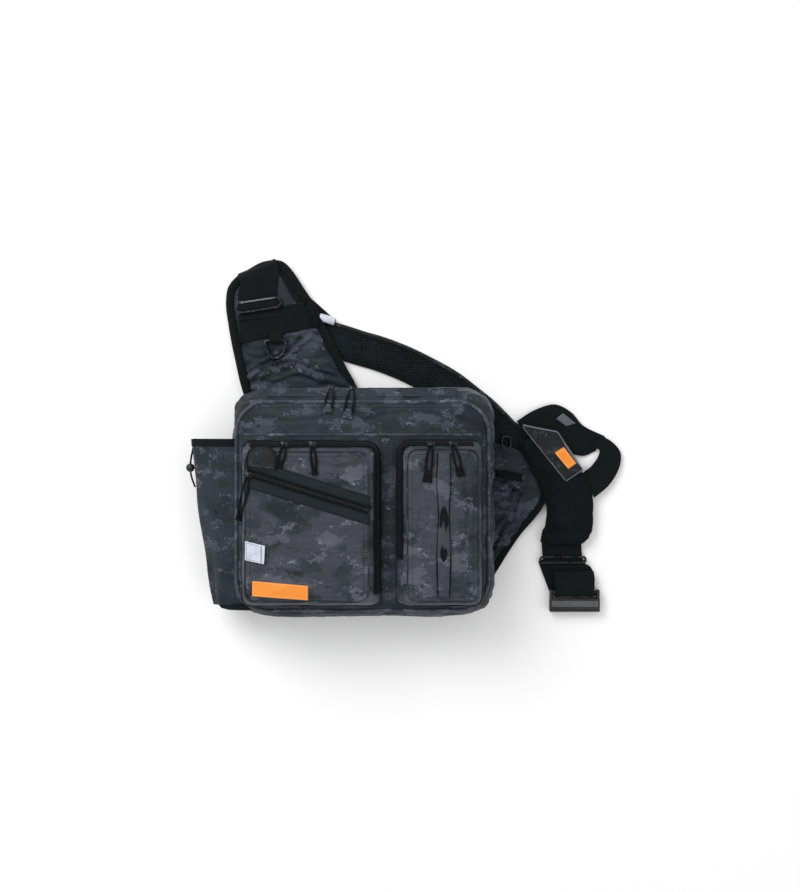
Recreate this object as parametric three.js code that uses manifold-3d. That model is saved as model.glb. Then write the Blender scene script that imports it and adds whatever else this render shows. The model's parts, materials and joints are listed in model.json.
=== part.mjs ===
// A fishing tackle sling bag laid on its back: a padded, zipped body with two front pockets, a
// tapering side sleeve, a shoulder pad, a mesh strap and a hip pad that ends in a buckle.
// +Z points up off the ground, +Y to the bag's own top, +X to the right of its front.
// The origin is the middle of the back panel, on the ground. All sizes are in millimetres.
import * as THREE from "three";
import Module from "manifold-3d";

const wasm = await Module();
wasm.setup();

// Driving sizes
const bodyWidth = 320;
const bodyHeight = 284;
const bodyDepth = 78;
const backPadDepth = 10;
const pocketDepth = 24;
const cornerRadius = 36;
const clothThickness = 2.4;
const tapeThickness = 1.8;
const webbingThickness = 2;
const webbingWidth = 50;
const strapWidth = 42;
const strapThickness = 4;
const padThickness = 10;
const padRise = 165;
const strapReach = 165;
const sleeveReach = 52;
const sleeveDepth = 66;
const bindingWidth = 10;
const pipingRadius = 2;
const zipOpening = 10;
const seatGap = 0.3;
const bearingGap = 0.4;

// Heights that follow from the driving sizes
const halfWidth = bodyWidth / 2;
const halfHeight = bodyHeight / 2;
const bodyBack = backPadDepth + seatGap;
const bodyFront = bodyBack + bodyDepth;
const pocketBack = bodyFront + seatGap;
const pocketFront = pocketBack + pocketDepth;
const onPocket = pocketFront + seatGap;
const padBack = strapThickness + seatGap;
const padFront = padBack + padThickness;
const onPad = padFront + seatGap;
const onPatch = onPad + tapeThickness + seatGap;
const onStrap = strapThickness + seatGap;
const hipBack = onStrap + webbingThickness + seatGap;
const hipFront = hipBack + padThickness;
const onHip = hipFront + seatGap;

// A share up to one is a share of the body's half width or half height; what lies past one is a
// share of the strap's reach beside the body or of the pad's rise above it.
const xAt = (share) => (share > 1 ? halfWidth + (share - 1) * strapReach : share * halfWidth);
const yAt = (share) => (share > 1 ? halfHeight + (share - 1) * padRise : share * halfHeight);

const finishes = {
  camo: new THREE.MeshStandardMaterial({ color: 0x4b4f59, roughness: 0.85 }),
  webbing: new THREE.MeshStandardMaterial({ color: 0x1d2022, roughness: 0.75 }),
  mesh: new THREE.MeshStandardMaterial({ color: 0x26282b, roughness: 0.95 }),
  zip: new THREE.MeshStandardMaterial({ color: 0x141517, roughness: 0.5 }),
  metal: new THREE.MeshStandardMaterial({ color: 0x54575c, metalness: 0.9, roughness: 0.35 }),
  plastic: new THREE.MeshStandardMaterial({ color: 0x4a4d52, roughness: 0.45 }),
  orange: new THREE.MeshStandardMaterial({ color: 0xee8f2c, roughness: 0.6 }),
  silver: new THREE.MeshStandardMaterial({ color: 0xd4d8df, roughness: 0.4 }),
};

// Solids

function solid(points, faces) {
  const signed = faces.reduce((sum, [a, b, c]) => {
    const [p, q, r] = [points[a], points[b], points[c]];
    return sum + p[0] * (q[1] * r[2] - q[2] * r[1]) - p[1] * (q[0] * r[2] - q[2] * r[0])
      + p[2] * (q[0] * r[1] - q[1] * r[0]);
  }, 0);
  const outward = signed < 0 ? faces.map(([a, b, c]) => [a, c, b]) : faces;
  return new wasm.Manifold(new wasm.Mesh({
    numProp: 3,
    vertProperties: new Float32Array(points.flat()),
    triVerts: new Uint32Array(outward.flat()),
  }));
}

// Skins rings of equal length into one solid, with its two ends filled or joined to each other.
function loft(rings, closed = false) {
  const count = rings[0].length;
  const points = rings.flat();
  const faces = [];
  const spans = closed ? rings.length : rings.length - 1;
  for (let level = 0; level < spans; level++) {
    const here = level * count;
    const next = ((level + 1) % rings.length) * count;
    for (let i = 0; i < count; i++) {
      const j = (i + 1) % count;
      faces.push([here + i, here + j, next + j], [here + i, next + j, next + i]);
    }
  }
  const last = points.length - count;
  for (let i = 1; i < count - 1 && !closed; i++) {
    faces.push([0, i + 1, i], [last, last + i, last + i + 1]);
  }
  return solid(points, faces);
}

// A rounded rectangle at one height, from its four sides.
function rim({ left, right, top, bottom }, radius, z, perCorner = 5) {
  const round = Math.min(radius, (right - left) / 2.05, (top - bottom) / 2.05);
  const corners = [
    [right - round, top - round, 0],
    [left + round, top - round, 1],
    [left + round, bottom + round, 2],
    [right - round, bottom + round, 3],
  ];
  return corners.flatMap(([x, y, turn]) =>
    Array.from({ length: perCorner + 1 }, (_, i) => {
      const angle = (turn + i / perCorner) * (Math.PI / 2);
      return [x + round * Math.cos(angle), y + round * Math.sin(angle), z];
    }),
  );
}

const grownSides = ({ left, right, top, bottom }, by) => ({
  left: left - by, right: right + by, top: top + by, bottom: bottom - by,
});

const mixedSides = (from, to, share) => Object.fromEntries(
  Object.keys(from).map((side) => [side, from[side] + (to[side] - from[side]) * share]),
);

function block(low, high) {
  const [left, bottom] = low;
  const [right, top] = high;
  const ring = (z) => [[left, bottom, z], [right, bottom, z], [right, top, z], [left, top, z]];
  return loft([ring(low[2]), ring(high[2])]);
}

// A round cord along a closed flat path.
function cord(path, radius, sides = 6) {
  return loft(path.map(([x, y, z], i) => {
    const before = path[(i + path.length - 1) % path.length];
    const after = path[(i + 1) % path.length];
    const run = Math.hypot(after[0] - before[0], after[1] - before[1]);
    const out = [(after[1] - before[1]) / run, (before[0] - after[0]) / run];
    return Array.from({ length: sides }, (_, k) => {
      const angle = (k / sides) * 2 * Math.PI;
      const wide = radius * Math.cos(angle);
      return [x + out[0] * wide, y + out[1] * wide, z + radius * Math.sin(angle)];
    });
  }), true);
}

// A rod along X.
function rod(left, right, y, z, radius, sides = 12) {
  const ring = (x) => Array.from({ length: sides }, (_, k) => {
    const angle = (k / sides) * 2 * Math.PI;
    return [x, y + radius * Math.cos(angle), z + radius * Math.sin(angle)];
  });
  return loft([ring(left), ring(right)]);
}

// A sheet or cushion across rows of { left, right, low, high, fill }: left and right are points on
// the ground plan, and fill is the share of the height that is left at that row. The columns give
// how far across a line runs and the share of the height there.
const flatColumns = [{ across: 0, fill: 1 }, { across: 1, fill: 1 }];
const cushionColumns = [
  { across: 0, fill: 0.45 },
  { across: 0.05, fill: 0.8 },
  { across: 0.14, fill: 1 },
  { across: 0.86, fill: 1 },
  { across: 0.95, fill: 0.8 },
  { across: 1, fill: 0.45 },
];

function quilt(rows, columns = flatColumns) {
  const wide = columns.length;
  const top = [];
  const under = [];
  rows.forEach(({ left, right, low, high, fill = 1 }) => columns.forEach((column) => {
    const x = left[0] + (right[0] - left[0]) * column.across;
    const y = left[1] + (right[1] - left[1]) * column.across;
    under.push([x, y, low]);
    top.push([x, y, low + (high - low) * fill * column.fill]);
  }));
  const faces = [];
  const offset = under.length;
  for (let i = 0; i < rows.length - 1; i++) {
    for (let j = 0; j < wide - 1; j++) {
      const [a, b, c, d] = [i * wide + j, i * wide + j + 1, (i + 1) * wide + j + 1, (i + 1) * wide + j];
      faces.push([a, b, c], [a, c, d]);
      faces.push([offset + a, offset + c, offset + b], [offset + a, offset + d, offset + c]);
    }
  }
  const edge = [];
  for (let j = 0; j < wide - 1; j++) edge.push(j);
  for (let i = 0; i < rows.length - 1; i++) edge.push(i * wide + wide - 1);
  for (let j = wide - 1; j > 0; j--) edge.push((rows.length - 1) * wide + j);
  for (let i = rows.length - 1; i > 0; i--) edge.push(i * wide);
  edge.forEach((a, i) => {
    const b = edge[(i + 1) % edge.length];
    faces.push([a, offset + a, offset + b], [a, offset + b, b]);
  });
  return solid([...under, ...top], faces);
}

// Rows across a centre line of { x, y, low }, all of one width and thickness.
function ribbonRows(line, width, thickness) {
  return line.map(({ x, y, low, half = width / 2 }, i) => {
    const before = line[Math.max(i - 1, 0)];
    const after = line[Math.min(i + 1, line.length - 1)];
    const run = Math.hypot(after.x - before.x, after.y - before.y);
    const aside = [(before.y - after.y) / run, (after.x - before.x) / run];
    return {
      left: [x + aside[0] * half, y + aside[1] * half],
      right: [x - aside[0] * half, y - aside[1] * half],
      low,
      high: low + thickness,
    };
  });
}

// A strip that bends up and down: rows of { along, height, width } from a point on the plan in one
// direction. The thickness is measured square to the line.
function bentStrip(origin, heading, thickness, line) {
  const run = [Math.cos(heading), Math.sin(heading)];
  const side = [-run[1], run[0]];
  return loft(line.map(({ along, height, width }, i) => {
    const before = line[Math.max(i - 1, 0)];
    const after = line[Math.min(i + 1, line.length - 1)];
    const length = Math.hypot(after.along - before.along, after.height - before.height);
    const up = [(before.height - after.height) / length, (after.along - before.along) / length];
    const corner = (share, aside) => [
      origin[0] + run[0] * (along + up[0] * share * thickness) + side[0] * aside,
      origin[1] + run[1] * (along + up[0] * share * thickness) + side[1] * aside,
      height + up[1] * share * thickness,
    ];
    return [
      corner(0, -width / 2), corner(0, width / 2), corner(1, width / 2), corner(1, -width / 2),
    ];
  }));
}

const bag = new THREE.Group();

function add(name, piece, material) {
  const mesh = piece.getMesh();
  const positions = new Float32Array(mesh.numVert * 3);
  for (let i = 0; i < mesh.numVert; i++) {
    positions.set(mesh.vertProperties.subarray(i * mesh.numProp, i * mesh.numProp + 3), i * 3);
  }
  const geometry = new THREE.BufferGeometry();
  geometry.setAttribute("position", new THREE.BufferAttribute(positions, 3));
  geometry.setIndex(new THREE.BufferAttribute(new Uint32Array(mesh.triVerts), 1));
  geometry.computeVertexNormals();
  const node = new THREE.Mesh(geometry, material.clone());
  node.name = name;
  bag.add(node);
}

// The zipped body, a slumped pillow box of cloth

// level: share of the body's depth; the sides are shares of the half width and half height
const bodyLevels = [
  { level: 0, left: -0.92, right: 0.92, top: 0.92, bottom: -0.92 },
  { level: 0.12, left: -0.965, right: 0.96, top: 0.955, bottom: -0.965 },
  { level: 0.32, left: -0.995, right: 0.985, top: 0.98, bottom: -0.995 },
  { level: 0.55, left: -1, right: 0.99, top: 0.98, bottom: -1 },
  { level: 0.78, left: -0.975, right: 0.975, top: 0.95, bottom: -0.97 },
  { level: 0.93, left: -0.945, right: 0.95, top: 0.9, bottom: -0.92 },
  { level: 1, left: -0.915, right: 0.915, top: 0.865, bottom: -0.89 },
];

const bodySides = ({ left, right, top, bottom }) => ({
  left: xAt(left), right: xAt(right), top: yAt(top), bottom: yAt(bottom),
});

function bodyForm(grow) {
  return loft(bodyLevels.map((row) => {
    const flat = row.level === 0 ? -grow : row.level === 1 ? grow : 0;
    const z = bodyBack + row.level * bodyDepth + flat;
    return rim(grownSides(bodySides(row), grow), cornerRadius + grow, z);
  }));
}

function sidesAtLevel(level) {
  const next = bodyLevels.findIndex((row) => row.level >= level);
  const [a, b] = [bodyLevels[next - 1], bodyLevels[next]];
  return mixedSides(bodySides(a), bodySides(b), (level - a.level) / (b.level - a.level));
}

const pipingPath = (level, out) => rim(
  grownSides(sidesAtLevel(level), out), cornerRadius + out, bodyBack + level * bodyDepth,
);

// Where the main zip runs in the top wall
const mainZip = { level: 0.72, half: 0.72 };
const zipMiddle = bodyBack + mainZip.level * bodyDepth;
const zipCut = (inset) => block(
  [-mainZip.half * halfWidth + inset, halfHeight * 0.8, zipMiddle - zipOpening / 2 + inset],
  [mainZip.half * halfWidth - inset, bodyHeight, zipMiddle + zipOpening / 2 - inset],
);

const frontPath = pipingPath(0.93, pipingRadius * 0.4);
const backPath = pipingPath(0.08, pipingRadius * 0.4);
add("body_shell", bodyForm(0)
  .subtract(bodyForm(-clothThickness))
  .subtract(zipCut(0))
  .subtract(cord(frontPath, pipingRadius + seatGap))
  .subtract(cord(backPath, pipingRadius + seatGap)), finishes.camo);
add("front_piping", cord(frontPath, pipingRadius), finishes.webbing);
add("back_piping", cord(backPath, pipingRadius), finishes.webbing);
add("main_zip", bodyForm(-seatGap)
  .subtract(bodyForm(-clothThickness + seatGap))
  .intersect(zipCut(seatGap)), finishes.zip);

// level: share of the pad's depth; inset: share of the corner radius
const backLevels = [
  { level: 0, inset: 0.55 },
  { level: 0.4, inset: 0.16 },
  { level: 0.75, inset: 0.02 },
  { level: 1, inset: 0 },
];

function backForm(grow) {
  return loft(backLevels.map(({ level, inset }) => {
    const flat = level === 0 ? -grow : level === 1 ? grow : 0;
    const sides = grownSides(bodySides(bodyLevels[0]), grow - inset * cornerRadius);
    return rim(sides, cornerRadius, level * backPadDepth + flat);
  }));
}

add("back_panel", backForm(0), finishes.mesh);
const keepOff = [bodyForm(seatGap), backForm(seatGap)]
  .concat([frontPath, backPath].map((path) => cord(path, pipingRadius + seatGap)));
const besideBody = (piece) => keepOff.reduce((left, keep) => left.subtract(keep), piece);

// The seam tape across the front, under the top band
const bandSeam = 0.575;
add("band_seam_tape", quilt([-0.88, 0.88].map((share) => ({
  left: [xAt(share), yAt(bandSeam) + tapeThickness],
  right: [xAt(share), yAt(bandSeam) - tapeThickness],
  low: pocketBack,
  high: pocketBack + tapeThickness / 2,
}))), finishes.webbing);

// The two front pockets, trays that open onto the body's front

const pockets = {
  left: {
    base: { left: -0.91, right: 0.15, top: 0.53, bottom: -0.885 },
    face: { left: -0.885, right: 0.06, top: 0.44, bottom: -0.85 },
    zipEnd: { across: -0.86, down: -0.8 },
    zipSide: "right",
  },
  right: {
    base: { left: 0.255, right: 0.91, top: 0.535, bottom: -0.885 },
    face: { left: 0.335, right: 0.885, top: 0.46, bottom: -0.85 },
    zipEnd: { across: 0.84, down: -0.5 },
    zipSide: "left",
  },
};

// rise: share of the pocket's depth; slope: how far the sides have come in from base to face
const pocketLevels = [
  { rise: 0, slope: 0, roll: 0 },
  { rise: 0.45, slope: 0.35, roll: 0 },
  { rise: 0.82, slope: 0.85, roll: 0 },
  { rise: 0.95, slope: 1, roll: 0.12 },
  { rise: 1, slope: 1, roll: 0.3 },
];
const pocketCorner = 12;

function pocketForm({ base, face }, shrink, deeper) {
  return loft(pocketLevels.map(({ rise, slope, roll }) => {
    const sides = mixedSides(bodySides(base), bodySides(face), slope);
    const z = pocketBack + rise * pocketDepth - rise * shrink - (rise === 0 ? deeper : 0);
    return rim(grownSides(sides, -roll * pocketCorner - shrink), pocketCorner, z, 4);
  }));
}

// The zip's slot runs along the pocket's top wall and down the wall on one side
function pocketCut({ face, zipEnd, zipSide }, inset) {
  const middle = pocketBack + pocketDepth / 2;
  const [low, high] = [middle - zipOpening / 2 + inset, middle + zipOpening / 2 - inset];
  const outside = bodyWidth;
  const { top, side } = zipSide === "right"
    ? { top: [xAt(zipEnd.across) + inset, outside], side: [xAt(face.right) - pocketCorner, outside] }
    : { top: [-outside, xAt(zipEnd.across) - inset], side: [-outside, xAt(face.left) + pocketCorner] };
  const under = yAt(face.top) - pocketCorner;
  return block([top[0], under, low], [top[1], outside, high])
    .add(block([side[0], yAt(zipEnd.down) + inset, low], [side[1], outside, high]));
}

for (const [side, pocket] of Object.entries(pockets)) {
  const inside = pocketForm(pocket, clothThickness, pocketDepth);
  add(`${side}_pocket`, pocketForm(pocket, 0, 0)
    .subtract(inside)
    .subtract(pocketCut(pocket, 0)), finishes.camo);
  add(`${side}_pocket_zip`, pocketForm(pocket, seatGap, 0)
    .subtract(pocketForm(pocket, clothThickness - seatGap, pocketDepth))
    .intersect(pocketCut(pocket, seatGap)), finishes.zip);
}

// Flat trim on the pockets: each corner is a pair of shares, in order round the piece
function patch(corners, low, thickness) {
  const [a, b, c, d] = corners.map(([x, y]) => [xAt(x), yAt(y)]);
  return quilt([
    { left: a, right: d, low, high: low + thickness },
    { left: b, right: c, low, high: low + thickness },
  ]);
}

const mixedPoint = (from, to, share) => [
  from[0] + (to[0] - from[0]) * share, from[1] + (to[1] - from[1]) * share,
];

// The slanting pocket zip: its upper edge and its lower edge, left to right
const slant = { upper: [[-0.865, 0.385], [0.045, 0.062]], lower: [[-0.865, 0.13], [0.045, -0.185]] };
// from, to: how far down from the upper edge each band of it starts and ends
const slantBands = [
  { name: "slant_tape_upper", from: 0, to: 0.34, finish: finishes.webbing },
  { name: "slant_zip", from: 0.36, to: 0.64, finish: finishes.zip },
  { name: "slant_tape_lower", from: 0.66, to: 1, finish: finishes.webbing },
];
slantBands.forEach(({ name, from, to, finish }) => {
  const edge = (share) => [0, 1].map((end) => mixedPoint(slant.upper[end], slant.lower[end], share));
  const [a, b] = edge(from);
  const [d, c] = edge(to);
  add(name, patch([a, b, c, d], onPocket, tapeThickness), finish);
});

// A rounded patch that covers the top end of the slanting zip
const garage = { middle: -0.75, foot: 0.385, half: 0.105, rise: 0.1 };
const onTape = onPocket + tapeThickness + seatGap;
add("zip_end_patch", loft([onTape, onTape + tapeThickness].map((z) => {
  const arch = Array.from({ length: 9 }, (_, i) => {
    const angle = (i / 8) * Math.PI;
    return [
      xAt(garage.middle) + garage.half * halfWidth * Math.cos(angle),
      yAt(garage.foot) + garage.rise * halfHeight * Math.sin(angle),
      z,
    ];
  });
  const slope = (slant.upper[1][1] - slant.upper[0][1]) * 0.12;
  return [
    ...arch,
    [xAt(garage.middle - garage.half), yAt(garage.foot - 0.07), z],
    [xAt(garage.middle + garage.half), yAt(garage.foot - 0.07 + slope), z],
  ];
})), finishes.camo);

add("reflective_tab", patch(
  [[-0.875, -0.322], [-0.723, -0.364], [-0.73, -0.52], [-0.875, -0.485]], onPocket, tapeThickness,
), finishes.silver);
add("front_label", patch(
  [[-0.82, -0.66], [-0.4, -0.7], [-0.4, -0.825], [-0.82, -0.79]], onPocket, tapeThickness,
), finishes.orange);

// The bowed pleat down the middle of the right pocket
const pleatRows = [
  { y: 0.42, half: 0.045 },
  { y: 0.2, half: 0.05 },
  { y: -0.12, half: 0.038 },
  { y: -0.45, half: 0.05 },
  { y: -0.8, half: 0.042 },
];
const pleatMiddle = 0.615;
add("pocket_pleat", quilt(pleatRows.map(({ y, half }) => ({
  left: [xAt(pleatMiddle - half), yAt(y)],
  right: [xAt(pleatMiddle + half), yAt(y)],
  low: onPocket,
  high: onPocket + clothThickness,
}))), finishes.camo);

// Zip pulls: a tape that starts at its zip, follows the edge's profile of { y, z } points on to the
// front and widens there into a grip
function pull({ x, reach, width, grip, lean }, profile) {
  const heading = -Math.PI / 2 + lean * Math.PI / 180;
  const start = profile[0].y;
  const front = profile.at(-1).z;
  const edge = start - profile.at(-1).y;
  const over = profile.map(({ y, z }) => ({ along: start - y, height: z, width }));
  const grips = [[0.45, width], [0.55, grip], [1, grip]].map(([share, wide]) => ({
    along: edge + Math.max(reach - edge, grip) * share, height: front, width: wide,
  }));
  return bentStrip([xAt(x), start], heading, clothThickness, [...over, ...grips]);
}

const clearOf = seatGap * 2;
function pocketProfile({ base, face }) {
  const top = (slope) => yAt(base.top) + (yAt(face.top) - yAt(base.top)) * slope;
  const bent = pocketLevels.filter(({ rise }) => rise > 0.4).map(({ rise, slope, roll }) => ({
    y: top(slope) - roll * pocketCorner + clearOf,
    z: pocketBack + rise * pocketDepth + seatGap,
  }));
  return bent;
}

// x: share of the half width; reach and grip in millimetres; lean in degrees
const pullRows = [
  { name: "left_pocket_pull_a", side: "left", x: -0.58, reach: 26, width: 5, grip: 8, lean: 0 },
  { name: "left_pocket_pull_b", side: "left", x: -0.37, reach: 34, width: 5, grip: 8, lean: 6 },
  { name: "right_pocket_pull_a", side: "right", x: 0.52, reach: 46, width: 5, grip: 12, lean: -4 },
  { name: "right_pocket_pull_b", side: "right", x: 0.685, reach: 40, width: 5, grip: 11, lean: 16 },
];
pullRows.forEach(({ name, side, ...row }) => {
  add(name, pull(row, pocketProfile(pockets[side])), finishes.webbing);
});

// The main zip's two pulls come over the front edge and its piping and lie on the top band
const overPiping = pipingRadius + seatGap * 2;
const mainProfile = [mainZip.level, 0.86, 0.93, 1].map((level, i) => {
  const { top } = sidesAtLevel(level);
  const lift = i === 3 ? clearOf : overPiping;
  return { y: top + overPiping, z: bodyBack + level * bodyDepth + lift * (i === 0 ? 0 : 1) };
});
const mainPulls = [
  { name: "main_pull_left", x: -0.24, reach: 32, width: 6, grip: 10, lean: -3 },
  { name: "main_pull_right", x: -0.08, reach: 39, width: 6, grip: 11, lean: -2 },
];
mainPulls.forEach(({ name, ...row }) => add(name, pull(row, mainProfile), finishes.webbing));

// The slanting zip's pull hangs over the pocket's left edge
add("slant_pull", patch(
  [[-0.86, 0.27], [-0.83, 0.27], [-0.9, -0.1], [-0.945, -0.1]], onTape, clothThickness,
), finishes.webbing);

// The side sleeve, open at the bag's top, tapering to its foot

// y: share of the half height; reach and tall: shares of the sleeve's reach and depth
const sleeveRows = [
  { y: -0.94, reach: 0.42, tall: 0.78 },
  { y: -0.6, reach: 0.58, tall: 0.86 },
  { y: 0, reach: 0.82, tall: 0.95 },
  { y: 0.54, reach: 1, tall: 1 },
];
const sleeveMiddle = bodyBack + bodyDepth * 0.45;

function sleeveRow(y) {
  const next = Math.max(1, sleeveRows.findIndex((row) => row.y >= y));
  const [a, b] = [sleeveRows[next - 1], sleeveRows[next]];
  return mixedSides(a, b, (y - a.y) / (b.y - a.y));
}

function sleeveForm(from, to, shrink) {
  const stops = [from, ...sleeveRows.map(({ y }) => y).filter((y) => y > from && y < to), to];
  return loft(stops.map((share) => {
    const inRange = Math.max(sleeveRows[0].y, Math.min(share, sleeveRows.at(-1).y));
    const row = sleeveRow(inRange);
    const root = -0.86 * halfWidth;
    const out = row.reach * sleeveReach + halfWidth + root - shrink;
    const tall = row.tall * sleeveDepth / 2 - shrink;
    const arc = Array.from({ length: 13 }, (_, i) => {
      const angle = Math.PI / 2 + (i / 12) * Math.PI;
      return [root + out * Math.cos(angle), yAt(share), sleeveMiddle + tall * Math.sin(angle)];
    });
    return arc;
  }));
}

const sleeve = { foot: -0.94, footBand: -0.885, topBand: 0.475, top: 0.54 };
const seatShare = seatGap / halfHeight;
const past = 0.02;
const sleeveBand = (from, to, wall, floor = -past) => besideBody(
  sleeveForm(from, to, 0).subtract(sleeveForm(from + floor, to + past, wall)),
);
const bandWall = clothThickness * 1.3;
add("side_sleeve", sleeveBand(
  sleeve.footBand + seatShare, sleeve.topBand - seatShare, clothThickness,
), finishes.camo);
add("sleeve_top_binding", sleeveBand(sleeve.topBand, sleeve.top, bandWall), finishes.webbing);
add("sleeve_foot_binding", sleeveBand(
  sleeve.foot, sleeve.footBand, bandWall, bandWall / halfHeight,
), finishes.webbing);

// The ball that locks the sleeve's draw cord
const ballRadius = 5.5;
const ballHeight = 0.29;
const ballRow = sleeveRow(ballHeight);
add("cord_stopper", wasm.Manifold.sphere(ballRadius, 16).translate([
  -halfWidth - ballRow.reach * sleeveReach - ballRadius - seatGap, yAt(ballHeight), sleeveMiddle,
]), finishes.plastic);

// The shoulder pad above the body, with its binding, patch and fittings

// y, left, right: shares, from the body up to the pad's rounded end
const padRows = [
  { y: 0.93, left: -0.94, right: -0.02, fill: 0.7 },
  { y: 1.02, left: -0.965, right: -0.06, fill: 1 },
  { y: 1.17, left: -1.0, right: -0.145, fill: 1 },
  { y: 1.32, left: -1.033, right: -0.223, fill: 1 },
  { y: 1.47, left: -1.06, right: -0.302, fill: 1 },
  { y: 1.66, left: -1.08, right: -0.404, fill: 1 },
  { y: 1.76, left: -1.064, right: -0.472, fill: 1 },
  { y: 1.84, left: -1.0, right: -0.525, fill: 1 },
  { y: 1.9, left: -0.9, right: -0.57, fill: 0.8 },
  { y: 1.955, left: -0.79, right: -0.63, fill: 0.55 },
];

function padForm(inset, low, high, columns) {
  const up = inset / padRise;
  return quilt(padRows.map(({ y, left, right, fill }, i) => {
    const last = i === padRows.length - 1;
    return {
      left: [xAt(left) + inset, yAt(y - (last ? up * 1.4 : i > 5 ? up * 0.9 : 0))],
      right: [xAt(right) - inset, yAt(y - (last ? up * 1.4 : i > 5 ? up * 0.5 : 0))],
      low,
      high,
      fill,
    };
  }), columns);
}

add("shoulder_pad", besideBody(
  padForm(bindingWidth + seatGap, padBack, padFront, cushionColumns),
), finishes.camo);
add("pad_binding", besideBody(padForm(0, padBack, padBack + padThickness * 0.62, flatColumns)
  .subtract(padForm(bindingWidth, -bodyDepth, bodyDepth, flatColumns))), finishes.webbing);

// The black patch across the pad, under the fittings
add("pad_patch", patch(
  [[-0.925, 1.53], [-0.5, 1.625], [-0.41, 1.43], [-0.915, 1.32]], onPad, tapeThickness,
), finishes.webbing);

// The wide webbing folds over the pad's end at a slant and comes down through a three-bar slider.
// Each row has the two edges of the webbing: along from the slider, and its height.
const padWebbing = { x: -0.82, y: 1.62, heading: 94 };
const webbingOrigin = [xAt(padWebbing.x), yAt(padWebbing.y)];
const webbingHeading = padWebbing.heading * Math.PI / 180;
const barDepth = 3;
const barPitch = 9;
const humpHeight = barDepth + seatGap;
const foldOut = 4;
const foldEnds = { left: [-0.985, 1.85], right: [-0.675, 1.985] };
const foldStart = [xAt(foldEnds.left[0]), yAt(foldEnds.left[1])];
const foldEnd = [xAt(foldEnds.right[0]), yAt(foldEnds.right[1])];
const foldLength = Math.hypot(foldEnd[0] - foldStart[0], foldEnd[1] - foldStart[1]);
const foldOutward = [(foldStart[1] - foldEnd[1]) / foldLength, (foldEnd[0] - foldStart[0]) / foldLength];
const webbingEdge = (along, aside) => [
  webbingOrigin[0] + Math.cos(webbingHeading) * along - Math.sin(webbingHeading) * aside,
  webbingOrigin[1] + Math.sin(webbingHeading) * along + Math.cos(webbingHeading) * aside,
];
const flatRing = (along, low) => [
  [...webbingEdge(along, webbingWidth / 2), low],
  [...webbingEdge(along, -webbingWidth / 2), low],
  [...webbingEdge(along, -webbingWidth / 2), low + webbingThickness],
  [...webbingEdge(along, webbingWidth / 2), low + webbingThickness],
];
const foldRing = (inner, outer, lowHeight, highHeight) => [
  [foldStart, inner, lowHeight], [foldEnd, inner, lowHeight],
  [foldEnd, outer, highHeight], [foldStart, outer, highHeight],
].map(([point, out, height]) => [
  point[0] + foldOutward[0] * out, point[1] + foldOutward[1] * out, height,
]);
add("pad_webbing", loft([
  flatRing(-barPitch * 1.9, onPatch),
  flatRing(-barPitch * 0.75, onPatch),
  flatRing(-barPitch * 0.35, onPatch + humpHeight),
  flatRing(barPitch * 0.35, onPatch + humpHeight),
  flatRing(barPitch * 0.75, onPatch),
  flatRing(barPitch * 1.6, onPatch),
  foldRing(0, 0, onPatch, onPatch + webbingThickness),
  foldRing(foldOut * 0.6, foldOut * 0.8, onPatch - webbingThickness, onPatch + webbingThickness * 0.3),
  foldRing(foldOut, foldOut + webbingThickness, padBack, padBack),
  foldRing(foldOut, foldOut + webbingThickness, webbingThickness * 1.4, webbingThickness * 1.4),
]), finishes.webbing);

// A flat frame of bars round a strip of webbing, in its own axes: X across the strip
function threeBarSlider(across, pitch, low) {
  const half = across / 2 + bearingGap;
  const over = low + webbingThickness + seatGap;
  const thin = barDepth / 2;
  const bar = (y, z) => block([-half - barDepth, y - thin, z], [half + barDepth, y + thin, z + barDepth]);
  const leg = (x) => block([x, -pitch - thin, low], [x + barDepth, pitch + thin, over + barDepth]);
  return [bar(pitch, over), bar(0, low), leg(-half - barDepth), leg(half)]
    .reduce((frame, piece) => frame.add(piece), bar(-pitch, over));
}

add("pad_slider", threeBarSlider(webbingWidth, barPitch, onPatch)
  .rotate([0, 0, padWebbing.heading - 90])
  .translate([...webbingOrigin, 0]), finishes.metal);

// The D-shaped ring in its webbing loop on the patch
const ring = { x: -0.685, y: 1.35, width: 30, drop: 24, bar: 2 };
const ringMiddle = [xAt(ring.x), yAt(ring.y)];
const ringHeight = onPatch + ring.bar + bearingGap + webbingThickness;
const ringHalf = ring.width / 2 - ring.bar;
const ringPath = Array.from({ length: 13 }, (_, i) => {
  const angle = -(i / 12) * Math.PI;
  return [
    ringMiddle[0] + ringHalf * Math.cos(angle),
    ringMiddle[1] + (ring.drop - ring.bar) * Math.sin(angle),
    ringHeight,
  ];
}).reverse();
const ringStraight = [-0.6, -0.2, 0.2, 0.6].map((share) => [
  ringMiddle[0] - share * ringHalf, ringMiddle[1], ringHeight,
]);
add("d_ring", cord([...ringPath, ...ringStraight], ring.bar, 8), finishes.metal);

// A webbing loop round a bar along X: it comes in along +Y, turns round the bar and goes back
function barLoop({ x, y, z, bar, width, tail, sewn }) {
  const inner = bar + bearingGap;
  const outer = inner + webbingThickness;
  const turn = (radius) => Array.from({ length: 9 }, (_, i) => {
    const angle = Math.PI / 2 + (i / 8) * Math.PI;
    return [y + radius * Math.cos(angle), z + radius * Math.sin(angle)];
  });
  const outline = (radius, end) => [[y + end, z + radius], ...turn(radius), [y + end, z - radius]];
  const prism = (section, half) => loft([x - half, x + half].map(
    (at) => section.map(([sy, sz]) => [at, sy, sz]),
  ));
  return prism(outline(outer, tail), width / 2).subtract(prism(outline(inner, tail - sewn), width));
}

add("d_ring_loop", barLoop({
  x: ringMiddle[0], y: ringMiddle[1], z: ringHeight,
  bar: ring.bar, width: ring.width * 0.5, tail: 11, sewn: 5,
}), finishes.webbing);

// The strap from under the pad's side, past the body's top corner, to the hip pad

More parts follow.
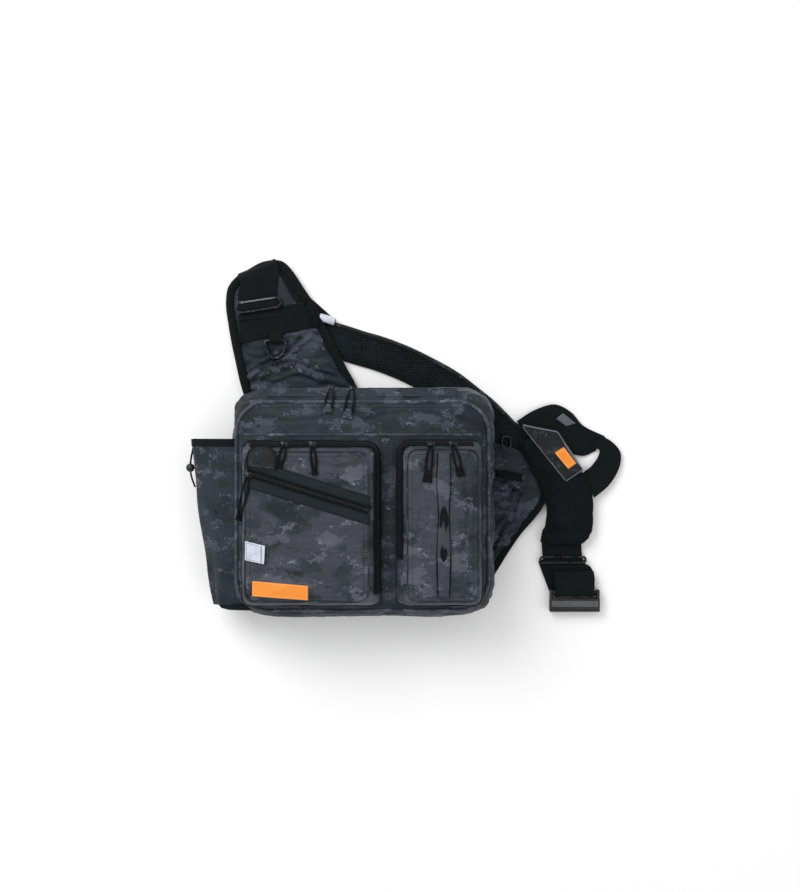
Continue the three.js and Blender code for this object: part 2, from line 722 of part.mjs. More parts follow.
const strapLine = [
  { x: -0.36, y: 1.392 },
  { x: -0.19, y: 1.35 },
  { x: -0.03, y: 1.3 },
  { x: 0.083, y: 1.269 },
  { x: 0.287, y: 1.197 },
  { x: 0.476, y: 1.109 },
  { x: 0.666, y: 1.006 },
  { x: 0.816, y: 0.879 },
  { x: 0.942, y: 0.763 },
  { x: 1.036, y: 0.657 },
  { x: 1.112, y: 0.568 },
  { x: 1.219, y: 0.506 },
  { x: 1.349, y: 0.434 },
  { x: 1.487, y: 0.354 },
];
const placed = (rows, low) => rows.map((row) => ({ low, ...row, x: xAt(row.x), y: yAt(row.y) }));
add("mesh_strap", besideBody(
  quilt(ribbonRows(placed(strapLine, 0), strapWidth, strapThickness), cushionColumns),
), finishes.mesh);

// The webbing under the pad that joins the strap, with its loop tab
const underLine = [{ x: -0.7, y: 1.74 }, { x: -0.545, y: 1.6 }, { x: -0.37, y: 1.447 }];
const underStart = { left: foldEnd, right: foldStart, low: 0, high: webbingThickness };
add("under_webbing", quilt([
  underStart, ...ribbonRows(placed(underLine, 0), webbingWidth, webbingThickness),
])
  .subtract(quilt(ribbonRows(placed(strapLine, -seatGap), strapWidth + seatGap * 2, strapThickness))),
finishes.webbing);
add("loop_tab", patch(
  [[-0.352, 1.578], [-0.233, 1.53], [-0.22, 1.473], [-0.305, 1.486]], onStrap, webbingThickness,
), finishes.silver);

// The hip pad at the strap's end, lying on the strap

const hipRows = [
  { y: 0.56, left: 1.2, right: 1.515, fill: 0.7 },
  { y: 0.48, left: 1.24, right: 1.55, fill: 0.9 },
  { y: 0.34, left: 1.305, right: 1.655, fill: 1 },
  { y: 0.2, left: 1.358, right: 1.74, fill: 1 },
  { y: 0.05, left: 1.397, right: 1.782, fill: 1 },
  { y: -0.1, left: 1.412, right: 1.79, fill: 1 },
  { y: -0.25, left: 1.4, right: 1.775, fill: 1 },
  { y: -0.34, left: 1.388, right: 1.745, fill: 0.9 },
  { y: -0.4, left: 1.382, right: 1.7, fill: 0.7 },
];
const hipForm = (grow, low, high, columns) => quilt(hipRows.map(({ y, left, right, fill }, i) => {
  const end = (i === 0 ? grow : 0) - (i === hipRows.length - 1 ? grow : 0);
  return {
    left: [xAt(left) - grow, yAt(y) + end],
    right: [xAt(right) + grow, yAt(y) + end],
    low, high, fill,
  };
}), columns);
add("hip_pad", hipForm(0, hipBack, hipFront, cushionColumns), finishes.mesh);

// The flap over the pad's end, with its label
add("end_flap", patch(
  [[1.235, 0.66], [1.5, 0.6], [1.69, 0.27], [1.57, 0.175]], onHip, clothThickness,
), finishes.camo);
add("flap_label", patch(
  [[1.48, 0.42], [1.55, 0.47], [1.645, 0.325], [1.585, 0.275]],
  onHip + clothThickness + seatGap, tapeThickness,
), finishes.orange);

// The webbing that arches out of the strap's end and folds back to the pad's side.
// The outer and inner columns are the two edges of the webbing on the plan.
const archRows = [
  { outer: [1.185, 0.715], inner: [1.275, 0.575], low: onStrap },
  { outer: [1.34, 0.8], inner: [1.4, 0.5], low: onStrap },
  { outer: [1.5, 0.847], inner: [1.52, 0.45], low: onStrap },
  { outer: [1.623, 0.772], inner: [1.62, 0.41], low: onStrap },
  { outer: [1.7, 0.67], inner: [1.7, 0.39], low: onStrap * 0.4 },
  { outer: [1.83, 0.58], inner: [1.79, 0.43], low: 0 },
];
const edges = (rows, thickness) => rows.map(({ outer, inner, low }) => ({
  left: [xAt(outer[0]), yAt(outer[1])],
  right: [xAt(inner[0]), yAt(inner[1])],
  low,
  high: low + thickness,
}));
const archWebbing = quilt(edges(archRows, webbingThickness));
add("arch_webbing", archWebbing, finishes.webbing);
const foldedOver = webbingThickness * 1.4 + seatGap;
const foldRows = [
  { outer: [1.85, 0.57], inner: [1.77, 0.47], low: foldedOver },
  { outer: [1.93, 0.515], inner: [1.831, 0.443], low: foldedOver },
  { outer: [1.99, 0.43], inner: [1.816, 0.372], low: foldedOver * 1.2 },
  { outer: [1.995, 0.34], inner: [1.777, 0.31], low: onStrap },
  { outer: [1.907, 0.137], inner: [1.71, 0.245], low: hipBack },
  { outer: [1.79, 0.02], inner: [1.69, 0.2], low: hipBack + webbingThickness },
];
add("fold_webbing", quilt(edges(foldRows, webbingThickness))
  .subtract(hipForm(seatGap, 0, hipFront + webbingThickness, flatColumns)), finishes.webbing);
add("arch_patch", patch(
  [[1.553, 0.77], [1.65, 0.68], [1.575, 0.655], [1.5, 0.72]],
  onStrap + webbingThickness + seatGap, tapeThickness,
), finishes.silver);

// The cloth wing that ties the strap's pad to the body's side
const wingRows = [
  { y: 0.52, left: 0.86, right: 1.03 },
  { y: 0.44, left: 0.86, right: 1.22 },
  { y: 0.26, left: 0.86, right: 1.33 },
  { y: 0.08, left: 0.86, right: 1.44 },
  { y: -0.04, left: 0.86, right: 1.41 },
  { y: -0.33, left: 0.86, right: 1.215 },
  { y: -0.72, left: 0.86, right: 1.0 },
];
const wingTrim = bindingWidth * 0.9;
const wingForm = (rows, inset, thickness) => quilt(rows.map(({ y, left, right }) => ({
  left: [xAt(left), yAt(y)],
  right: [xAt(right) - inset, yAt(y)],
  low: onStrap,
  high: onStrap + thickness,
})));
const besideArch = (piece) => piece.subtract(quilt(edges(archRows, bodyDepth).map((row) => ({
  ...row, low: 0, left: [row.left[0], row.left[1] + 1], right: [row.right[0] - 1, row.right[1] - 1],
}))));
add("side_wing", besideArch(besideBody(
  wingForm(wingRows, wingTrim + seatGap, webbingThickness),
)), finishes.camo);
add("wing_binding", besideArch(besideBody(
  wingForm(wingRows.slice(3), 0, webbingThickness)
    .subtract(wingForm(wingRows, wingTrim, bodyDepth)),
)), finishes.webbing);
const onWing = onStrap + webbingThickness + seatGap;
add("wing_strap", besideBody(patch(
  [[1.045, 0.275], [1.24, 0.235], [1.24, 0.16], [1.045, 0.2]], onWing, webbingThickness,
)), finishes.webbing);

// A small keeper loop on the wing, beside the body
const keeper = { x: 1.12, y: 0.51, width: 13, height: 17, wall: 2.4 };
const keeperFrame = (inset, low, high) => block(
  [xAt(keeper.x) - keeper.width / 2 + inset, yAt(keeper.y) - keeper.height / 2 + inset, low],
  [xAt(keeper.x) + keeper.width / 2 - inset, yAt(keeper.y) + keeper.height / 2 - inset, high],
);
add("strap_keeper", keeperFrame(0, onWing, onWing + keeper.wall)
  .subtract(keeperFrame(keeper.wall, 0, bodyDepth)), finishes.plastic);

// The webbing below the hip pad, its slider and the buckle at its end

const buckle = {
  x: 1.64, y: -0.82, width: 63, reach: 24, depth: 13, bar: 3, cheek: 4, lift: 0.5,
};
const buckleX = xAt(buckle.x);
const barY = yAt(buckle.y);
const barZ = buckle.lift + buckle.depth / 2;
const loopReach = 24;
const loopSewn = 9;
const loopUnder = barZ - buckle.bar - bearingGap - webbingThickness;
const buckleLoop = barLoop({
  x: buckleX, y: barY, z: barZ,
  bar: buckle.bar, width: webbingWidth, tail: loopReach, sewn: loopSewn,
});

// shift: how far the webbing has moved toward the hip pad's own side, in shares of its width
const tailRows = [
  { y: -0.3, shift: 0.33, low: onStrap },
  { y: -0.42, shift: 0.32, low: onStrap },
  { y: -0.53, shift: 0.29, low: onStrap },
  { y: -0.57, shift: 0.29, low: onStrap },
  { y: -0.62, shift: 0.15, low: onStrap },
].map(({ y, shift, low }) => ({ y: yAt(y), x: buckleX - shift * webbingWidth, low }));
const tailEnd = [loopReach, loopReach - loopSewn].map((up) => ({ y: barY + up, x: buckleX, low: loopUnder }));
add("tail_webbing", quilt([...tailRows, ...tailEnd].map(({ x, y, low }) => ({
  left: [x - webbingWidth / 2, y],
  right: [x + webbingWidth / 2, y],
  low,
  high: low + webbingThickness,
}))).add(buckleLoop), finishes.webbing);

// A flat loop round the webbing above the buckle
const tailSlider = { height: 9, wall: 3 };
const sliderRow = tailRows[2];
const sliderSide = webbingWidth / 2 + bearingGap * 4;
add("tail_slider", block(
  [sliderRow.x - sliderSide - tailSlider.wall, sliderRow.y - tailSlider.height / 2, seatGap],
  [sliderRow.x + sliderSide + tailSlider.wall, sliderRow.y + tailSlider.height / 2,
    onStrap + webbingThickness + seatGap + tailSlider.wall],
).subtract(block(
  [sliderRow.x - sliderSide, sliderRow.y - tailSlider.height, onStrap - seatGap],
  [sliderRow.x + sliderSide, sliderRow.y + tailSlider.height, onStrap + webbingThickness + seatGap],
)), finishes.metal);

const bodyTop = barY - buckle.bar - bearingGap - webbingThickness - 1.2;
const bodyFoot = barY - buckle.reach;
const cheekTop = barY + buckle.bar + 1;
const buckleHigh = buckle.lift + buckle.depth;
const halfBuckle = buckle.width / 2;
const mouth = { half: halfBuckle * 0.72, height: buckle.depth * 0.46 };
const cheek = (x) => block([x, bodyFoot, buckle.lift], [x + buckle.cheek, cheekTop, buckleHigh]);
const barHalf = halfBuckle - buckle.cheek / 2;
add("buckle", block(
  [buckleX - halfBuckle, bodyFoot, buckle.lift], [buckleX + halfBuckle, bodyTop, buckleHigh],
)
  .add(cheek(buckleX - halfBuckle))
  .add(cheek(buckleX + halfBuckle - buckle.cheek))
  .add(rod(buckleX - barHalf, buckleX + barHalf, barY, barZ, buckle.bar))
  .subtract(block(
    [buckleX - mouth.half, bodyFoot - 1, barZ - mouth.height / 2],
    [buckleX + mouth.half, bodyTop + 1, barZ + mouth.height / 2],
  ))
  .subtract(block(
    [buckleX - mouth.half, (bodyFoot + bodyTop) / 2 - 1.5, buckleHigh - 1.2],
    [buckleX + mouth.half, (bodyFoot + bodyTop) / 2 + 1.5, buckleHigh + 1],
  )), finishes.plastic);

export default bag;
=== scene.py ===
"""The dressed look of a camouflage sling bag for fishing tackle that lies on its back.

Lengths in the classes are millimetres in the frame of the solids, and shares are shares of the
body's half width and half height. A piece becomes metres when it is finished.
"""

import json
import logging
import math
from collections.abc import Callable, Iterable, Sequence
from dataclasses import dataclass, field
from enum import Enum

import bmesh
import bpy
import numpy as np
from mathutils import Matrix, Vector, noise
from mathutils.bvhtree import BVHTree

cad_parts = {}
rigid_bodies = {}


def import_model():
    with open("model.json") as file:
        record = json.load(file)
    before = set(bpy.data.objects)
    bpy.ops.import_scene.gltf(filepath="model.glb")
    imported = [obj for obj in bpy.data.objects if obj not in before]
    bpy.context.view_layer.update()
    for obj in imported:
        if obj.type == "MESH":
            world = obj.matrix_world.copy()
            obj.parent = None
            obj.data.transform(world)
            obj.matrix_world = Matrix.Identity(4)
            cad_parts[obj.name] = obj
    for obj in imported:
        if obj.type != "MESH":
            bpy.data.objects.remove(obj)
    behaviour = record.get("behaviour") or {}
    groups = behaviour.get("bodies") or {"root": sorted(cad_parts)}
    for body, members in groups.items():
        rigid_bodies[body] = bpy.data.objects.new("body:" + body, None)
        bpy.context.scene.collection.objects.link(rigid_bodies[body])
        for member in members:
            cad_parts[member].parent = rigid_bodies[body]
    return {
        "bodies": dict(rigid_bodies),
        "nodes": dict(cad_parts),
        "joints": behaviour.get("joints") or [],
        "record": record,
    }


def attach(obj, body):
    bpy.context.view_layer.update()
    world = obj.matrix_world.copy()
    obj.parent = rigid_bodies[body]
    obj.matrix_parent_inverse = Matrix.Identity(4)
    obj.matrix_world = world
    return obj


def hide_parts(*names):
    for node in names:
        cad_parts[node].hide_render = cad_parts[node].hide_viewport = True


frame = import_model()

MM = 0.001
HALF_WIDTH, HALF_HEIGHT, REACH = 160.0, 142.0, 165.0
BODY_BACK, BODY_DEPTH = 10.3, 78.0
POCKET_BACK, POCKET_DEPTH = 88.6, 24.0
POCKET_FRONT = POCKET_BACK + POCKET_DEPTH
SLIDER_HEIGHT = POCKET_BACK + POCKET_DEPTH * 0.72
GROUND_GAP = 0.05

log = logging.getLogger("sling_bag")


class Slot(Enum):
    """The material slots that the solids carry."""

    CAMO = "camo_cloth"
    WEBBING = "black_webbing"
    MESH = "black_mesh"
    ZIP = "zip_coil"
    METAL = "dark_metal"
    PLASTIC = "grey_plastic"
    LABEL = "orange_label"
    SILVER = "silver_tape"


class Side(Enum):
    """The side of a pocket that its zip runs down."""

    LEFT = "left"
    RIGHT = "right"


# Places

def x_at(share: float) -> float:
    """Gives the millimetres across for a share of the half width, and of the reach past it."""
    return HALF_WIDTH + (share - 1) * REACH if share > 1 else share * HALF_WIDTH


def y_at(share: float) -> float:
    """Gives the millimetres up for a share of the half height, and of the rise past it."""
    return HALF_HEIGHT + (share - 1) * REACH if share > 1 else share * HALF_HEIGHT


def at(x: float, y: float, z: float = 0.0) -> Vector:
    """Gives the point for two shares and a height in millimetres."""
    return Vector((x_at(x), y_at(y), z))


def spline(rows: Sequence[Sequence[float]], count: int) -> np.ndarray:
    """Draws a smooth line through rows of numbers.

    Args:
        rows: The rows that the line goes through; each column is smoothed in the same way.
        count: How many rows to give, evenly spaced along the line.

    Returns:
        An array of count rows.
    """
    points = np.asarray(rows, float)
    steps = np.maximum(np.linalg.norm(np.diff(points, axis=0), axis=1), 1e-6)
    knots = np.concatenate([[0.0], np.cumsum(steps)])
    slopes = np.gradient(points, knots, axis=0)
    where = np.linspace(0.0, knots[-1], count)
    i = np.clip(np.searchsorted(knots, where, side="right") - 1, 0, len(points) - 2)
    span = (knots[i + 1] - knots[i])[:, None]
    u = (where[:, None] - knots[i][:, None]) / span
    return (
        (2 * u**3 - 3 * u**2 + 1) * points[i]
        + (u**3 - 2 * u**2 + u) * slopes[i] * span
        + (3 * u**2 - 2 * u**3) * points[i + 1]
        + (u**3 - u**2) * slopes[i + 1] * span
    )


def smooth_path(points: Sequence[Vector], count: int) -> list[Vector]:
    """Draws a smooth path of count points through the given ones."""
    return [Vector(row) for row in spline([tuple(p) for p in points], count)]


def path_length(points: Sequence[Vector]) -> float:
    """Gives a path's length in its own unit."""
    return sum((b - a).length for a, b in zip(points, points[1:]))


@dataclass(frozen=True)
class Sides:
    """The four sides of a rounded outline on the plan, in millimetres."""

    left: float
    right: float
    top: float
    bottom: float

    @classmethod
    def of(cls, left: float, right: float, top: float, bottom: float) -> "Sides":
        """Makes the sides from shares."""
        return cls(x_at(left), x_at(right), y_at(top), y_at(bottom))

    def grown(self, by: float) -> "Sides":
        """Moves each side out by some millimetres."""
        return Sides(self.left - by, self.right + by, self.top + by, self.bottom - by)

    def mixed(self, other: "Sides", share: float) -> "Sides":
        """Gives the sides part of the way to another outline's."""
        pairs = zip((self.left, self.right, self.top, self.bottom),
                    (other.left, other.right, other.top, other.bottom))
        return Sides(*(a + (b - a) * share for a, b in pairs))

    def ring(self, radius: float, z: float, count: int) -> list[Vector]:
        """Walks round the outline from the middle of its right side, counter-clockwise.

        Args:
            radius: The corners' radius.
            z: The ring's height.
            count: How many points, evenly spaced.

        Returns:
            The ring's points, without the first one again at the end.
        """
        corners = []
        inner = self.grown(-radius)
        middles = ((inner.right, inner.top, 0), (inner.left, inner.top, 90),
                   (inner.left, inner.bottom, 180), (inner.right, inner.bottom, 270))
        start = (self.right, (self.top + self.bottom) / 2)
        corners.append(start)
        for x, y, first in middles:
            for step in range(9):
                angle = math.radians(first + step * 11.25)
                corners.append((x + radius * math.cos(angle), y + radius * math.sin(angle)))
        corners.append(start)
        line = np.array(corners)
        run = np.concatenate([[0.0], np.cumsum(np.linalg.norm(np.diff(line, axis=0), axis=1))])
        where = np.linspace(0.0, run[-1], count, endpoint=False)
        xs, ys = np.interp(where, run, line[:, 0]), np.interp(where, run, line[:, 1])
        return [Vector((x, y, z)) for x, y in zip(xs, ys)]


# Meshes

Placer = Callable[[float, float], Vector]


def woven(across: int, along: int, place: Placer, size: tuple[float, float] = (1.0, 1.0),
          wrap: bool = False, cap: bool = False) -> bmesh.types.BMesh:
    """Bends a grid of cloth into place.

    Args:
        across: The number of faces across the cloth.
        along: The number of faces along it.
        place: Gives the point for the shares across and along, each 0 to 1.
        size: The cloth's width and length, kept in its UV map.
        wrap: Whether the two long edges are sewn together.
        cap: Whether the open ends are closed.

    Returns:
        The mesh, with its faces outwards, or upwards where it is open.
    """
    bm = bmesh.new()
    bmesh.ops.create_grid(bm, x_segments=across, y_segments=along, size=0.5)
    layer = bm.loops.layers.uv.new("cloth")
    for face in bm.faces:
        for loop in face.loops:
            flat = loop.vert.co
            loop[layer].uv = ((flat.x + 0.5) * size[0] * MM, (flat.y + 0.5) * size[1] * MM)
    for vert in bm.verts:
        vert.co = place(vert.co.x + 0.5, vert.co.y + 0.5)
    if wrap:
        bmesh.ops.remove_doubles(bm, verts=bm.verts, dist=0.002)
    if cap:
        bmesh.ops.holes_fill(bm, edges=[e for e in bm.edges if e.is_boundary], sides=0)
    bmesh.ops.recalc_face_normals(bm, faces=bm.faces)
    if not wrap and sum(f.normal.z * f.calc_area() for f in bm.faces) < 0:
        bmesh.ops.reverse_faces(bm, faces=bm.faces)
    return bm


def ringed(rings: Sequence[Sequence[Vector]], cap: bool = True) -> bmesh.types.BMesh:
    """Skins a closed form over rings that have as many points each."""
    around, along = len(rings[0]), len(rings) - 1

    def place(u: float, v: float) -> Vector:
        """Takes the ring's own point."""
        return rings[round(v * along)][round(u * around) % around]

    return woven(around, along, place, wrap=True, cap=cap)


Crown = Callable[[float, float], float]


def band(rows: Sequence[Sequence[float]], thickness: float, along: int, across: int = 6,
         crown: Crown | None = None, edge: float | None = None) -> bmesh.types.BMesh:
    """Makes a closed strip with round edges, such as webbing or a pad.

    Args:
        rows: Each row holds the left edge's point and then the right edge's, at mid thickness.
        thickness: The strip's thickness at its edges.
        along: The number of faces along it.
        across: The number of faces across each side.
        crown: Gives the extra half thickness for the share across, -1 to 1, and along, 0 to 1.
        edge: How far in from its edge the strip is rounded; half the thickness when left out.

    Returns:
        The closed mesh.
    """
    track = spline(rows, along + 1)
    left, right = track[:, :3], track[:, 3:6]
    heading = np.gradient((left + right) / 2, axis=0)
    up = np.cross(right - left, heading)
    up /= np.maximum(np.linalg.norm(up, axis=1, keepdims=True), 1e-9)
    width = float(np.mean(np.linalg.norm(right - left, axis=1)))
    rim = min(0.8, 2 * (thickness / 2 if edge is None else edge) / width)
    inner = np.linspace(-1 + rim, 1 - rim, across + 1)
    over = [(-1.0, 0.0), (-1 + rim * 0.3, 0.72)] + [(s, 1.0) for s in inner] + [(1 - rim * 0.3, 0.72)]
    under = [(-s, -h) for s, h in over]
    section = over + under
    count = len(section)

    def place(u: float, v: float) -> Vector:
        """Puts one point of the section on its row."""
        s, h = section[round(u * count) % count]
        i = round(v * along)
        high = thickness / 2 + (crown(s, v) if crown else 0.0)
        mixed = left[i] + (right[i] - left[i]) * (s + 1) / 2
        return Vector(mixed + up[i] * h * high)

    length = float(np.sum(np.linalg.norm(np.diff((left + right) / 2, axis=0), axis=1)))
    return woven(count, along, place, (2 * width, length), wrap=True, cap=True)


def tube(path: Sequence[Vector], radius: float | Sequence[float], sides: int = 10,
         closed: bool = False, flat: float = 1.0) -> bmesh.types.BMesh:
    """Makes a round cord along a path.

    Args:
        path: The cord's middle line.
        radius: Its radius, or one for each point of the path.
        sides: The number of faces around it.
        closed: Whether the path's end meets its start.
        flat: The section's height as a share of its width.

    Returns:
        The closed mesh.
    """
    points = list(path) + ([path[0]] if closed else [])
    last = len(points) - 1
    radii = [float(radius)] * len(points) if isinstance(radius, (int, float)) else list(radius)
    headings = []
    for i in range(len(points)):
        before = points[i - 1] if i else (points[-2] if closed else points[0])
        after = points[i + 1] if i < last else (points[1] if closed else points[-1])
        headings.append((after - before).normalized())
    side = headings[0].cross(Vector((0, 0, 1)))
    side = side.normalized() if side.length > 1e-3 else Vector((1, 0, 0))
    frames = []
    for heading in headings:
        side = (side - heading * side.dot(heading)).normalized()
        frames.append((side.copy(), heading.cross(side) * -1))

    def place(u: float, v: float) -> Vector:
        """Puts one point of the round section on the path."""
        i = round(v * last)
        angle = 2 * math.pi * u
        across, up = frames[i]
        return points[i] + radii[i] * (across * math.cos(angle) + up * flat * math.sin(angle))

    size = (2 * math.pi * radii[0], path_length(points))
    return woven(sides, last, place, size, wrap=True, cap=not closed)


def merged(parts: Iterable[bmesh.types.BMesh]) -> bmesh.types.BMesh:
    """Puts several meshes into one and frees them."""
    whole = bmesh.new()
    for part in parts:
        mesh = bpy.data.meshes.new("part")
        part.to_mesh(mesh)
        part.free()
        whole.from_mesh(mesh)
        bpy.data.meshes.remove(mesh)
    return whole


def block(low: Vector, high: Vector, bevel: float, segments: int = 3) -> bmesh.types.BMesh:
    """Makes a box with rounded edges between two corners."""
    bm = bmesh.new()
    bmesh.ops.create_cube(bm, size=1.0)
    bmesh.ops.scale(bm, vec=high - low, verts=bm.verts)
    bmesh.ops.translate(bm, vec=(low + high) / 2, verts=bm.verts)
    if bevel > 0:
        bmesh.ops.bevel(bm, geom=bm.edges[:], offset=bevel, offset_type="OFFSET", segments=segments,
                        profile=0.5, affect="EDGES", clamp_overlap=True, material=-1)
    return bm


def turned(bm: bmesh.types.BMesh, matrix: Matrix) -> bmesh.types.BMesh:
    """Moves a mesh by a matrix and gives it back."""
    bmesh.ops.transform(bm, matrix=matrix, verts=bm.verts)
    return bm


def seated(origin: Vector, forward: Vector, up: Vector) -> Matrix:
    """Gives the matrix with X along forward and Z near up, at a point."""
    x = forward.normalized()
    z = (up - x * up.dot(x)).normalized()
    y = z.cross(x)
    return Matrix.Translation(origin) @ Matrix((x, y, z)).transposed().to_4x4()


def grains(path: Sequence[Vector], ups: Sequence[Vector] | Vector, pitch: float,
           size: tuple[float, float, float], shift: tuple[float, float] = (0.0, 0.0)) -> bmesh.types.BMesh:
    """Sets a row of small grains, such as stitches, along a path.

    Args:
        path: The line that the grains follow.
        ups: The way up, for the whole path or at each of its points.
        pitch: The distance from grain to grain.
        size: A grain's length, width and height.
        shift: How far the grains sit to the left of the path, and above it.

    Returns:
        One mesh with all grains.
    """
    bm = bmesh.new()
    run, due = 0.0, pitch / 2
    for i, (a, b) in enumerate(zip(path, path[1:])):
        step = (b - a).length
        while step > 1e-6 and due <= run + step:
            up = ups if isinstance(ups, Vector) else ups[i]
            seat = seated(a.lerp(b, (due - run) / step), b - a, up)
            seat = seat @ Matrix.Translation((0, shift[0], shift[1]))
            seat = seat @ Matrix.Diagonal((*(s / 2 for s in size), 1))
            bmesh.ops.create_icosphere(bm, subdivisions=1, radius=1.0, matrix=seat)
            due += pitch
        run += step
    return bm


def to_object(bm: bmesh.types.BMesh, name: str) -> bpy.types.Object:
    """Turns a mesh in millimetres into an object in metres, and frees the mesh."""
    bmesh.ops.scale(bm, vec=(MM, MM, MM), verts=bm.verts)
    mesh = bpy.data.meshes.new(name)
    bm.to_mesh(mesh)
    bm.free()
    made = bpy.data.objects.new(name, mesh)
    bpy.context.scene.collection.objects.link(made)
    return made


def evaluated(made: bpy.types.Object) -> bmesh.types.BMesh:
    """Reads an object's mesh with its modifiers, in millimetres, and removes the object."""
    bpy.context.view_layer.update()
    shaped = made.evaluated_get(bpy.context.evaluated_depsgraph_get())
    bm = bmesh.new()
    mesh = shaped.to_mesh()
    bm.from_mesh(mesh)
    shaped.to_mesh_clear()
    bmesh.ops.scale(bm, vec=(1 / MM, 1 / MM, 1 / MM), verts=bm.verts)
    bare = made.data
    bpy.data.objects.remove(made)
    bpy.data.meshes.remove(bare)
    return bm


def remeshed(bm: bmesh.types.BMesh, voxel: float) -> bmesh.types.BMesh:
    """Gives a closed form an even net of faces, voxel millimetres wide."""
    made = to_object(bm, "net")
    modifier = made.modifiers.new("net", "REMESH")
    modifier.mode = "VOXEL"
    modifier.voxel_size = voxel * MM
    return evaluated(made)


def refined(bm: bmesh.types.BMesh, levels: int = 1) -> bmesh.types.BMesh:
    """Subdivides a mesh smoothly."""
    made = to_object(bm, "fine")
    modifier = made.modifiers.new("fine", "SUBSURF")
    modifier.levels = modifier.render_levels = levels
    return evaluated(made)


@dataclass(frozen=True)
class Filling:
    """How far the stuffing or the load inside swells a sewn form."""

    pressure: float = 4.0
    voxel: float = 5.0
    most: float = 8.0
    frames: int = 20

    def swell(self, bm: bmesh.types.BMesh, held: Callable[[Vector], bool]) -> bmesh.types.BMesh:
        """Blows a closed form up like a cushion, with its seams held.

        Args:
            bm: The form in millimetres, which is used up.
            held: Tells whether the cloth at a point is sewn down.

        Returns:
            The swollen form.
        """
        bm = remeshed(bm, self.voxel)
        pins = [i for i, vert in enumerate(bm.verts) if held(vert.co)]
        rest = [vert.co.copy() for vert in bm.verts]
        made = to_object(bm, "stuffed")
        group = made.vertex_groups.new(name="sewn")
        group.add(pins, 1.0, "REPLACE")
        cloth = made.modifiers.new("cloth", "CLOTH")
        settings = cloth.settings
        settings.quality = 5
        settings.mass = 0.3
        settings.tension_stiffness = settings.compression_stiffness = 15
        settings.shear_stiffness = 5
        settings.bending_stiffness = 0.5
        settings.use_pressure = True
        settings.uniform_pressure_force = self.pressure
        settings.effector_weights.gravity = 0
        settings.vertex_group_mass = "sewn"
        cloth.point_cache.frame_start, cloth.point_cache.frame_end = 1, self.frames
        for number in range(1, self.frames + 1):
            bpy.context.scene.frame_set(number)
        swollen = evaluated(made)
        for vert, start in zip(swollen.verts, rest):
            moved = vert.co - start
            if moved.length > self.most:
                vert.co = start + moved * (self.most / moved.length)
        bpy.context.scene.frame_set(1)
        return swollen


def crumpled(bm: bmesh.types.BMesh, folds: Sequence[tuple[float, Sequence[float], float]],
             weight: Callable[[Vector], float] | None = None, seed: float = 0.0) -> bmesh.types.BMesh:
    """Works folds and slack into cloth.

    Args:
        bm: The mesh, which is changed.
        folds: Each has its height, its lengths along X, Y and Z, and how sharp its creases are, 0 to 1.
        weight: How strongly a point takes the folds, 0 to 1.
        seed: Where in the noise the folds are taken from.

    Returns:
        The same mesh.
    """
    bm.normal_update()
    moves = []
    for vert in bm.verts:
        share = weight(vert.co) if weight else 1.0
        rise = 0.0
        for i, (height, lengths, sharp) in enumerate(folds):
            spot = Vector([c / s for c, s in zip(vert.co, lengths)]) + Vector((seed + 9.7 * i, seed, -seed))
            soft = noise.noise(spot)
            crease = 0.5 - 2.4 * abs(soft)
            rise += height * ((1 - sharp) * soft * 1.6 + sharp * max(-0.6, crease))
        moves.append(vert.normal * rise * share)
    for vert, move in zip(bm.verts, moves):
        vert.co += move
    return bm


@dataclass(frozen=True)
class Crease:
    """A fold pressed into cloth along a line of shares: a valley with a ridge beside it."""

    line: tuple[tuple[float, float], ...]
    depth: float
    width: float

    def press(self, bm: bmesh.types.BMesh) -> bmesh.types.BMesh:
        """Works the fold into a mesh's upper face."""
        bm.normal_update()
        path = smooth_path([at(x, y) for x, y in self.line], 40)
        for vert in bm.verts:
            if vert.normal.z < 0.2:
                continue
            flat = Vector((vert.co.x, vert.co.y, 0))
            i = min(range(len(path)), key=lambda k: (path[k] - flat).length_squared)
            ahead = path[min(i + 1, len(path) - 1)] - path[max(i - 1, 0)]
            offset = flat - path[i]
            side = 1.0 if ahead.cross(offset).z > 0 else -1.0
            far = offset.length / self.width
            if far > 4:
                continue
            fade = math.sin(math.pi * min(1.0, max(0.0, (i + 1) / (len(path) + 1)))) ** 0.5
            ridge = math.exp(-((far - 1.7) ** 2)) * (0.9 if side > 0 else 0.35)
            vert.co.z += self.depth * fade * (ridge - math.exp(-(far**2)))
        return bm


